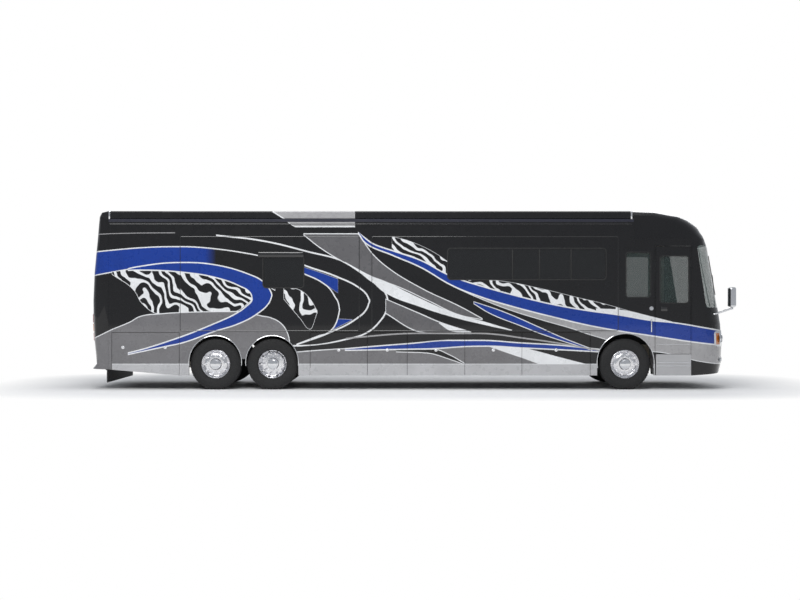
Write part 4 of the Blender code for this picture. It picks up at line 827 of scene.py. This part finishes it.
def door_fittings():
    """The grab handle with its lock, the entry door's handle and the strips of its step well."""
    shape = bmesh.new()
    lock = Vector((along(651.5), -HALF_WIDTH, height(308.4)))
    add_rod(shape, lock + Vector((0, 0.004, 0)), lock - Vector((0, 0.014, 0)), 0.05, 32, 0.042)
    add_rod(shape, lock - Vector((0, 0.012, 0)), lock - Vector((0, 0.022, 0)), 0.016, 20)
    bar_x, top, foot, stand = along(651), height(320), height(331), 0.05
    for z in (top, foot):
        add_rod(shape, (bar_x, -HALF_WIDTH + 0.003, z), (bar_x, -HALF_WIDTH - stand, z), 0.011, 16)
    add_rod(shape, (bar_x, -HALF_WIDTH - stand, foot - 0.02), (bar_x, -HALF_WIDTH - stand, top + 0.02),
            0.013, 20)
    piece("grab_handle", shape, CHROME, "coach")
    shape = bmesh.new()
    handle = Vector((along(664), -HALF_WIDTH, height(309)))
    add_box(shape, (handle.x - 0.07, -HALF_WIDTH - 0.020, handle.z - 0.045),
            (handle.x + 0.07, -HALF_WIDTH + 0.003, handle.z + 0.045), 0.008)
    piece("entry_door_handle", shape, GLOSS_BLACK, "entry_door")
    low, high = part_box("entry_step")
    shape = bmesh.new()
    for z in (height(362.5), height(365.8), high.z - 0.24):
        add_box(shape, (low.x + 0.006, low.y - 0.006, z - 0.006),
                (high.x - 0.006, low.y + 0.004, z + 0.006), 0.002)
    piece("step_well_strips", shape, CHROME, "coach")
    shape = bmesh.new()
    for k in range(9):
        y = low.y + 0.03 + k * 0.024
        add_box(shape, (low.x + 0.03, y, 0.744), (high.x - 0.03, y + 0.010, 0.750), 0.002)
    piece("tread_grip_strips", shape, SEAL, "coach")


# The front and rear details' places: (least, greatest) across, and (lower, upper) height
GRILLE_ACROSS, GRILLE_RISE, BAR_ACROSS = (-0.62, 0.62), (0.90, 1.24), (-0.60, 0.60)
INTAKE_ACROSS, INTAKE_RISE, SLAT_ACROSS = (-0.70, 0.70), (0.44, 0.72), (-0.68, 0.68)
PLATE_ACROSS, FRONT_PLATE_RISE, REAR_PLATE_RISE = (-0.155, 0.155), (0.50, 0.65), (0.72, 0.87)
PILLAR_ACROSS, PILLAR_RISE = (-0.02, 0.02), (1.75, 3.03)
LOUVRE_ACROSS = (-0.62, 0.62)
PANEL_ACROSS, PANEL_RISE = (-0.62, 0.62), (2.15, 2.62)
INDICATOR_RISE, BEZEL_RISE = (0.95, 1.19), (1.00, 1.62)
TAIL_LAMPS = (((1.03, 1.20), LENS_RED, "stop"), ((1.225, 1.39), LENS_AMBER, "turn"),
              ((1.415, 1.59), LENS_RED, "tail"))
FOG_ACROSS, FOG_UP = (0.80, 1.0), 0.62
LAMP_RING = [(0.085, -0.02), (0.085, 0.004), (0.078, 0.008), (0.070, 0.001), (0.05, -0.001), (0.048, 0.006),
             (0.03, 0.010), (0.0004, 0.011)]
WIPER_FOOT, WIPER_TIP, BLADE_LENGTH = (0.28, 1.70), (0.84, 2.42), 0.84
FRONT_MARKERS_UP, REAR_MARKERS_UP = 3.45, 3.40


def add_run(shape, trees, places, stand, radius, segments):
    """A thin rod that follows the front's face through places given as (across, height)."""
    previous = None
    for y, z in places:
        x = reach(trees, 1, y, z)
        if x is None:
            continue
        spot = Vector((x + stand, y, z))
        if previous is not None:
            add_rod(shape, previous, spot, radius, segments)
        previous = spot


def front_details():
    """Grille, lamps, indicators, bumper intake, plate, screen pillar, wipers and markers of the front."""
    cap = [FRONT_FACE]
    patches("grille_panel", cap, 1, GRILLE_ACROSS, [GRILLE_RISE], 0.004, 0.02, 30, 6, GLOSS_BLACK)
    bars = even_rises(0.93, 0.052, 0.016, 6)
    patches("grille_bars", cap, 1, BAR_ACROSS, bars, 0.018, 0.0, 30, 1, CHROME)
    for side, word in ((RIGHT, "right"), (LEFT, "left")):
        fog = bmesh.new()
        for across in FOG_ACROSS:
            y = side * across
            x = reach(cap, 1, y, FOG_UP)
            if x is not None:
                add_rod(fog, (x - 0.012, y, FOG_UP), (x + 0.010, y, FOG_UP), 0.055, 28, 0.05)
        piece(f"fog_lamps_{word}", fog, LENS_WHITE, "coach")
        low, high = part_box(f"headlamp_{word}")
        tree = surface_of(f"headlamp_{word}")
        lamp = bmesh.new()
        for across in (0.36, 0.68):
            y = (low.y + (high.y - low.y) * across) if side > 0 else (high.y - (high.y - low.y) * across)
            z = (low.z + high.z) / 2
            x = reach([tree], 1, y, z)
            if x is not None:
                add_turned(lamp, LAMP_RING, (x, y, z), 1, 36, about_x=True)
        piece(f"headlamp_rings_{word}", lamp, CHROME, "coach")
        ys = sorted((side * 1.06, side * 1.16))
        patches(f"front_indicator_{word}", [tree], 1, ys, [INDICATOR_RISE], 0.005, 0.01, 6, 6, LENS_AMBER)
    patches("bumper_intake", cap, 1, INTAKE_ACROSS, [INTAKE_RISE], 0.005, 0.02, 30, 6, GLOSS_BLACK)
    slats = even_rises(0.47, 0.06, 0.014, 4)
    patches("bumper_slats", cap, 1, SLAT_ACROSS, slats, 0.016, 0.0, 30, 1, STEEL)
    patches("front_plate_blank", cap, 1, PLATE_ACROSS, [FRONT_PLATE_RISE], 0.030, 0.005, 6, 2, STEP_PAINT)
    patches("screen_pillar", [SCREEN_FACE], 1, PILLAR_ACROSS, [PILLAR_RISE], 0.006, 0.004, 2, 30, SEAL)
    wipers = bmesh.new()
    for side in (RIGHT, LEFT):
        foot_y, tip_y, foot_z, tip_z = side * WIPER_FOOT[0], side * WIPER_TIP[0], WIPER_FOOT[1], WIPER_TIP[1]
        arm = [(foot_y + (tip_y - foot_y) * (k / 8), foot_z + (tip_z - foot_z) * (k / 8)) for k in range(9)]
        add_run(wipers, [SCREEN_FACE, FRONT_FACE], arm, 0.022, 0.010, 10)
        blade = [(tip_y, tip_z - BLADE_LENGTH / 2 + BLADE_LENGTH * k / 10) for k in range(11)]
        add_run(wipers, [SCREEN_FACE, FRONT_FACE], blade, 0.012, 0.008, 8)
    piece("wipers", wipers, SEAL, "coach")
    markers = bmesh.new()
    for y in (-0.75, -0.16, 0, 0.16, 0.75):
        x = reach(cap, 1, y, FRONT_MARKERS_UP)
        if x is not None:
            add_box(markers, (x - 0.03, y - 0.045, 3.437), (x + 0.012, y + 0.045, 3.463), 0.006)
    piece("front_markers", markers, LENS_AMBER, "coach")


def rear_details():
    """Tail lamps, hatch louvres, blank plate, markers, camera and gloss panel of the rear."""
    cap, hatch = [REAR_FACE], [HATCH_FACE]
    for side, word in ((RIGHT, "right"), (LEFT, "left")):
        ys = sorted((side * 0.90, side * 1.10))
        patches(f"tail_lamp_bezel_{word}", cap, -1, ys, [BEZEL_RISE], 0.004, 0.015, 6, 16, CHROME)
        ys = sorted((side * 0.925, side * 1.075))
        for rise, material, kind in TAIL_LAMPS:
            patches(f"tail_lamp_{kind}_{word}", cap, -1, ys, [rise], 0.014, 0.0, 6, 6, material)
    louvres = even_rises(0.98, 0.05, 0.022, 11)
    patches("hatch_louvres", hatch, -1, LOUVRE_ACROSS, louvres, 0.012, 0.0, 20, 1, GLOSS_BLACK,
            "engine_hatch")
    patches("rear_plate_blank", hatch, -1, PLATE_ACROSS, [REAR_PLATE_RISE], 0.010, 0.0, 6, 2, STEP_PAINT,
            "engine_hatch")
    markers = bmesh.new()
    for y in (-0.9, -0.16, 0, 0.16, 0.9):
        x = reach(cap, -1, y, REAR_MARKERS_UP)
        if x is not None:
            add_box(markers, (x - 0.012, y - 0.045, 3.387), (x + 0.03, y + 0.045, 3.413), 0.006)
    piece("rear_markers", markers, LENS_RED, "coach")
    eye = bmesh.new()
    x = reach(cap, -1, 0, 3.1)
    add_box(eye, (x - 0.035, -0.06, 3.06), (x + 0.03, 0.06, 3.13), 0.012)
    piece("reversing_camera", eye, GLOSS_BLACK, "coach")
    patches("rear_panel_gloss", cap, -1, PANEL_ACROSS, [PANEL_RISE], 0.003, 0.01, 20, 8, GLOSS_BLACK)


def guard_ribs():
    """Upright ribs of the rock guard."""
    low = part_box("rock_guard")[0]
    shape = bmesh.new()
    count, width, rib_top = 56, 2.22, 0.412
    for k in range(count):
        y = -width / 2 + width * k / (count - 1)
        add_box(shape, (low.x - 0.004, y - 0.008, low.z + 0.004), (low.x + 0.003, y + 0.008, rib_top),
                0.002)
    piece("rock_guard_ribs", shape, MAT, "coach")


def roof_details():
    """Roof vents, drip rails on both sides, the awning's end caps and the window awning's case."""
    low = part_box("roof")[0]
    vents = bmesh.new()
    for x in (-5.3, -2.6, 0.6, 3.1):
        add_box(vents, (x - 0.19, -0.19, 3.776), (x + 0.19, 0.19, 3.832), 0.03)
    piece("roof_vents", vents, GEL, "coach")
    rails = bmesh.new()
    for side in (RIGHT, LEFT):
        y = side * (HALF_WIDTH + 0.004)
        add_rod(rails, (low.x + 0.02, y, height(224)), (along(632), y, height(224)), 0.007, 10)
    piece("side_drip_rails", rails, GLOSS_BLACK, "coach")
    arms = bmesh.new()
    half = 0.016
    box_low, box_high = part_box("awning_housing")
    for share in (0.0, 1.0):
        x = box_low.x + (box_high.x - box_low.x) * share
        shift = half if share == 0 else -half
        add_box(arms, (x - half + shift, -HALF_WIDTH - 0.006, box_low.z - 0.004),
                (x + half + shift, box_high.y - 0.03, box_high.z + 0.004), 0.006)
    piece("awning_end_caps", arms, CHROME, "coach")
    case = bmesh.new()
    x0, x1, z0, z1 = along(258), along(304), height(257.5), height(252)
    add_box(case, (x0, -HALF_WIDTH - 0.055, z0), (x1, -HALF_WIDTH - 0.008, z1), 0.02)
    piece("window_awning_case", case, GLOSS_BLACK, "slideout_right_rear")


def pad(name, low, high):
    """A crowned leather cushion whose sides pull in between its corners, with two sewn channels."""
    shape = bmesh.new()
    bmesh.ops.create_cube(shape, size=1)
    bmesh.ops.subdivide_edges(shape, edges=shape.edges[:], cuts=11, use_grid_fill=True)
    low, high = Vector(low), Vector(high)
    size = high - low
    thin = min(range(3), key=lambda axis: size[axis])
    wide = [axis for axis in range(3) if axis != thin]
    for vertex in shape.verts:
        share = vertex.co * 2
        pinch = 1 - 0.10 * (1 - share[wide[1]] ** 2) * abs(share[wide[0]]) ** 4
        lift = 1 - 0.45 * (abs(share[wide[0]]) ** 3 + abs(share[wide[1]]) ** 3) / 2
        seam = 1 - 0.12 * sum(math.exp(-((share[wide[0]] - at) / 0.05) ** 2) for at in (-0.4, 0.4))
        spot = Vector(share)
        spot[wide[0]] *= pinch
        spot[thin] *= lift * seam
        vertex.co = (low + high) / 2 + Vector([spot[axis] * size[axis] / 2 for axis in range(3)])
    bmesh.ops.smooth_vert(shape, verts=shape.verts, factor=0.4, use_axis_x=True, use_axis_y=True,
                          use_axis_z=True)
    thing = piece(name, shape, LEATHER, "coach", 60)


def seats():
    """The two cab seats: cushion, back, headrest and arms in leather on a plinth."""
    for word in ("driver", "passenger"):
        node = f"{word}_seat"
        low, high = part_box(node)
        floor, middle = low.z, (low.y + high.y) / 2
        plinth = bmesh.new()
        add_box(plinth, (low.x + 0.12, low.y + 0.09, floor), (high.x - 0.14, high.y - 0.09, floor + 0.30),
                0.02)
        add_rod(plinth, (low.x + 0.15, middle, floor + 0.62), (low.x + 0.13, middle, high.z - 0.17), 0.03,
                16)
        piece(f"{word}_seat_plinth", plinth, PLASTIC, "coach", replaces=(node,))
        pad(f"{word}_seat_cushion", (low.x + 0.06, low.y + 0.035, floor + 0.301),
            (high.x, high.y - 0.035, floor + 0.46))
        pad(f"{word}_seat_back", (low.x, low.y + 0.035, floor + 0.42),
            (low.x + 0.14, high.y - 0.035, high.z - 0.20))
        pad(f"{word}_headrest", (low.x + 0.02, low.y + 0.13, high.z - 0.21),
            (low.x + 0.12, high.y - 0.13, high.z))
        for side, y in (("right", low.y), ("left", high.y - 0.055)):
            pad(f"{word}_armrest_{side}", (low.x + 0.10, y, floor + 0.60),
                (low.x + 0.45, y + 0.055, floor + 0.67))


def wheelhouse():
    """The steering wheel with its column, and the instrument hood."""
    dash_low, dash_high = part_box("dashboard")
    seat_low, seat_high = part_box("driver_seat")
    y = (seat_low.y + seat_high.y) / 2
    lean = Vector((-0.62, 0, 0.78)).normalized()
    centre = Vector((dash_low.x - 0.10, y, dash_high.z + 0.02))
    across = lean.cross(Vector((0, 1, 0))).normalized()
    shape = bmesh.new()
    steps, rim = 40, 0.215
    spots = [centre + (across * math.cos(a) + Vector((0, 1, 0)) * math.sin(a)) * rim
             for a in (2 * math.pi * i / steps for i in range(steps))]
    for i in range(steps):
        add_rod(shape, spots[i], spots[(i + 1) % steps], 0.014, 10)
    for turn in (90, 210, 330):
        a = math.radians(turn)
        tip = centre + (across * math.cos(a) + Vector((0, 1, 0)) * math.sin(a)) * rim
        add_rod(shape, centre - lean * 0.03, tip, 0.014, 10)
    add_rod(shape, centre - lean * 0.05, centre - lean * 0.01, 0.06, 24)
    add_rod(shape, centre - lean * 0.05, centre - lean * 0.30, 0.035, 16)
    piece("steering_wheel", shape, PLASTIC, "coach")
    hood = bmesh.new()
    add_box(hood, (dash_low.x + 0.05, y - 0.24, dash_high.z - 0.004),
            (dash_low.x + 0.26, y + 0.24, dash_high.z + 0.07), 0.03)
    piece("instrument_hood", hood, PLASTIC, "coach")


def underbody():
    """The prop shaft and the exhaust pipe, seen from below."""
    shape = bmesh.new()
    add_rod(shape, (-4.75, 0, 0.62), (-3.12, 0, 0.56), 0.05, 20)
    piece("prop_shaft", shape, STEEL, "coach")
    shape = bmesh.new()
    spots = [Vector((-5.0, 0.55, 0.62)), Vector((-5.8, 0.62, 0.50)), Vector((-6.35, 0.70, 0.47)),
             Vector((-6.62, 0.72, 0.46))]
    for a, b in zip(spots, spots[1:]):
        add_rod(shape, a, b, 0.055, 20)
    piece("exhaust_pipe", shape, ALLOY, "coach")


def mirror_faces():
    """Flat glasses on the backs of the mirror heads."""
    for word in ("right", "left"):
        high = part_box(f"mirror_{word}")[1]
        side = RIGHT if word == "right" else LEFT
        shape = bmesh.new()
        y = side * 1.34
        add_box(shape, (high.x - 0.134, y - 0.085, high.z - 0.40),
                (high.x - 0.128, y + 0.085, high.z - 0.02), 0.002)
        piece(f"mirror_glass_{word}", shape, GLOSS_BLACK, "coach")


def white_beyond_the_shadow(shader):
    """Makes the floor shine white away from the coach, for the eye and for reflections alone."""
    x, y = shader.axes()[:2]
    run = shader.math("MULTIPLY", x, 1 / SHADOW_REACH[0])
    breadth = shader.math("MULTIPLY", shader.math("SUBTRACT", y, SHADOW_CENTRE), 1 / SHADOW_REACH[1])
    far = shader.math("ADD", shader.math("POWER", shader.math("ABSOLUTE", run), 4.0),
                      shader.math("POWER", shader.math("ABSOLUTE", breadth), 4.0))
    share = shader.spread(far, 0.35, 1.0, 0.0, 1.0)
    path = shader.new("ShaderNodeLightPath")
    seen = shader.math("MAXIMUM", path.outputs["Is Camera Ray"],
                       shader.math("MAXIMUM", path.outputs["Is Glossy Ray"],
                                   path.outputs["Is Transmission Ray"]))
    glow = shader.new("ShaderNodeEmission")
    blend = shader.new("ShaderNodeMixShader")
    shader.feed(blend.inputs[0], shader.math("MULTIPLY", share, seen))
    shader.tree.links.new(shader.principled.outputs[0], blend.inputs[1])
    shader.tree.links.new(glow.outputs[0], blend.inputs[2])
    shader.tree.links.new(blend.outputs[0], shader.tree.nodes["Material Output"].inputs["Surface"])


def stage():
    """A pale floor and backdrop that show white to the camera, and soft light."""
    shader = Shader("studio_floor")
    shader.set(Base_Color=shader.mix(shader.noise(0.7, 3.0), (0.80, 0.80, 0.80, 1), (0.84, 0.84, 0.84, 1)),
               Roughness=0.9)
    white_beyond_the_shadow(shader)
    half = 60.0
    floor = bmesh.new()
    bmesh.ops.create_grid(floor, x_segments=1, y_segments=1, size=half)
    mesh = bpy.data.meshes.new("studio_floor")
    floor.to_mesh(mesh)
    floor.free()
    mesh.materials.append(shader.material)
    thing = bpy.data.objects.new("studio_floor", mesh)
    thing.location.z = -0.001
    bpy.context.scene.collection.objects.link(thing)
    world = bpy.data.worlds.new("studio_world")
    bpy.context.scene.world = world
    world.use_nodes = True
    nodes, links = world.node_tree.nodes, world.node_tree.links
    background = nodes["Background"]
    background.inputs["Color"].default_value = (0.80, 0.83, 0.88, 1)
    background.inputs["Strength"].default_value = 0.55
    shown = nodes.new("ShaderNodeBackground")
    shown.inputs["Color"].default_value = (1, 1, 1, 1)
    path = nodes.new("ShaderNodeLightPath")
    blend = nodes.new("ShaderNodeMixShader")
    links.new(path.outputs["Is Camera Ray"], blend.inputs[0])
    links.new(background.outputs[0], blend.inputs[1])
    links.new(shown.outputs[0], blend.inputs[2])
    links.new(blend.outputs[0], nodes["World Output"].inputs["Surface"])
    for name, place, target, size, power in (("key", (-5, -14, 12), (0, 0, 1.5), (14, 5), 1500),
                                             ("top", (0, -3, 16), (0, 0, 2), (16, 8), 1100),
                                             ("fill", (6, 14, 9), (0, 0, 1.5), (12, 6), 600)):
        lamp = bpy.data.lights.new(name, "AREA")
        lamp.shape, lamp.size, lamp.size_y, lamp.energy = "RECTANGLE", *size, power
        holder = bpy.data.objects.new(name, lamp)
        holder.location = place
        holder.rotation_euler = (Vector(target) - Vector(place)).to_track_quat("-Z", "Y").to_euler()
        bpy.context.scene.collection.objects.link(holder)


def camera():
    """The photograph's camera, level and square to the coach's right side."""
    data = bpy.data.cameras.new("camera")
    data.lens, data.sensor_width = 50, 36
    thing = bpy.data.objects.new("camera", data)
    thing.location = CAMERA_PLACE
    thing.rotation_euler = (math.pi / 2, 0, 0)
    bpy.context.scene.collection.objects.link(thing)
    bpy.context.scene.camera = thing
    bpy.context.scene.view_settings.view_transform = "Standard"


dress_nodes()
dress("roof", roof_finish())
skin("front_cap_skin", "front_cap", LIVERY)
skin("rear_cap_skin", "rear_cap", LIVERY)
wheels()
window_trims()
fascia_trims()
arch_trims()
latches()
door_fittings()
front_details()
rear_details()
guard_ribs()
roof_details()
seats()
wheelhouse()
underbody()
mirror_faces()
stage()
camera()
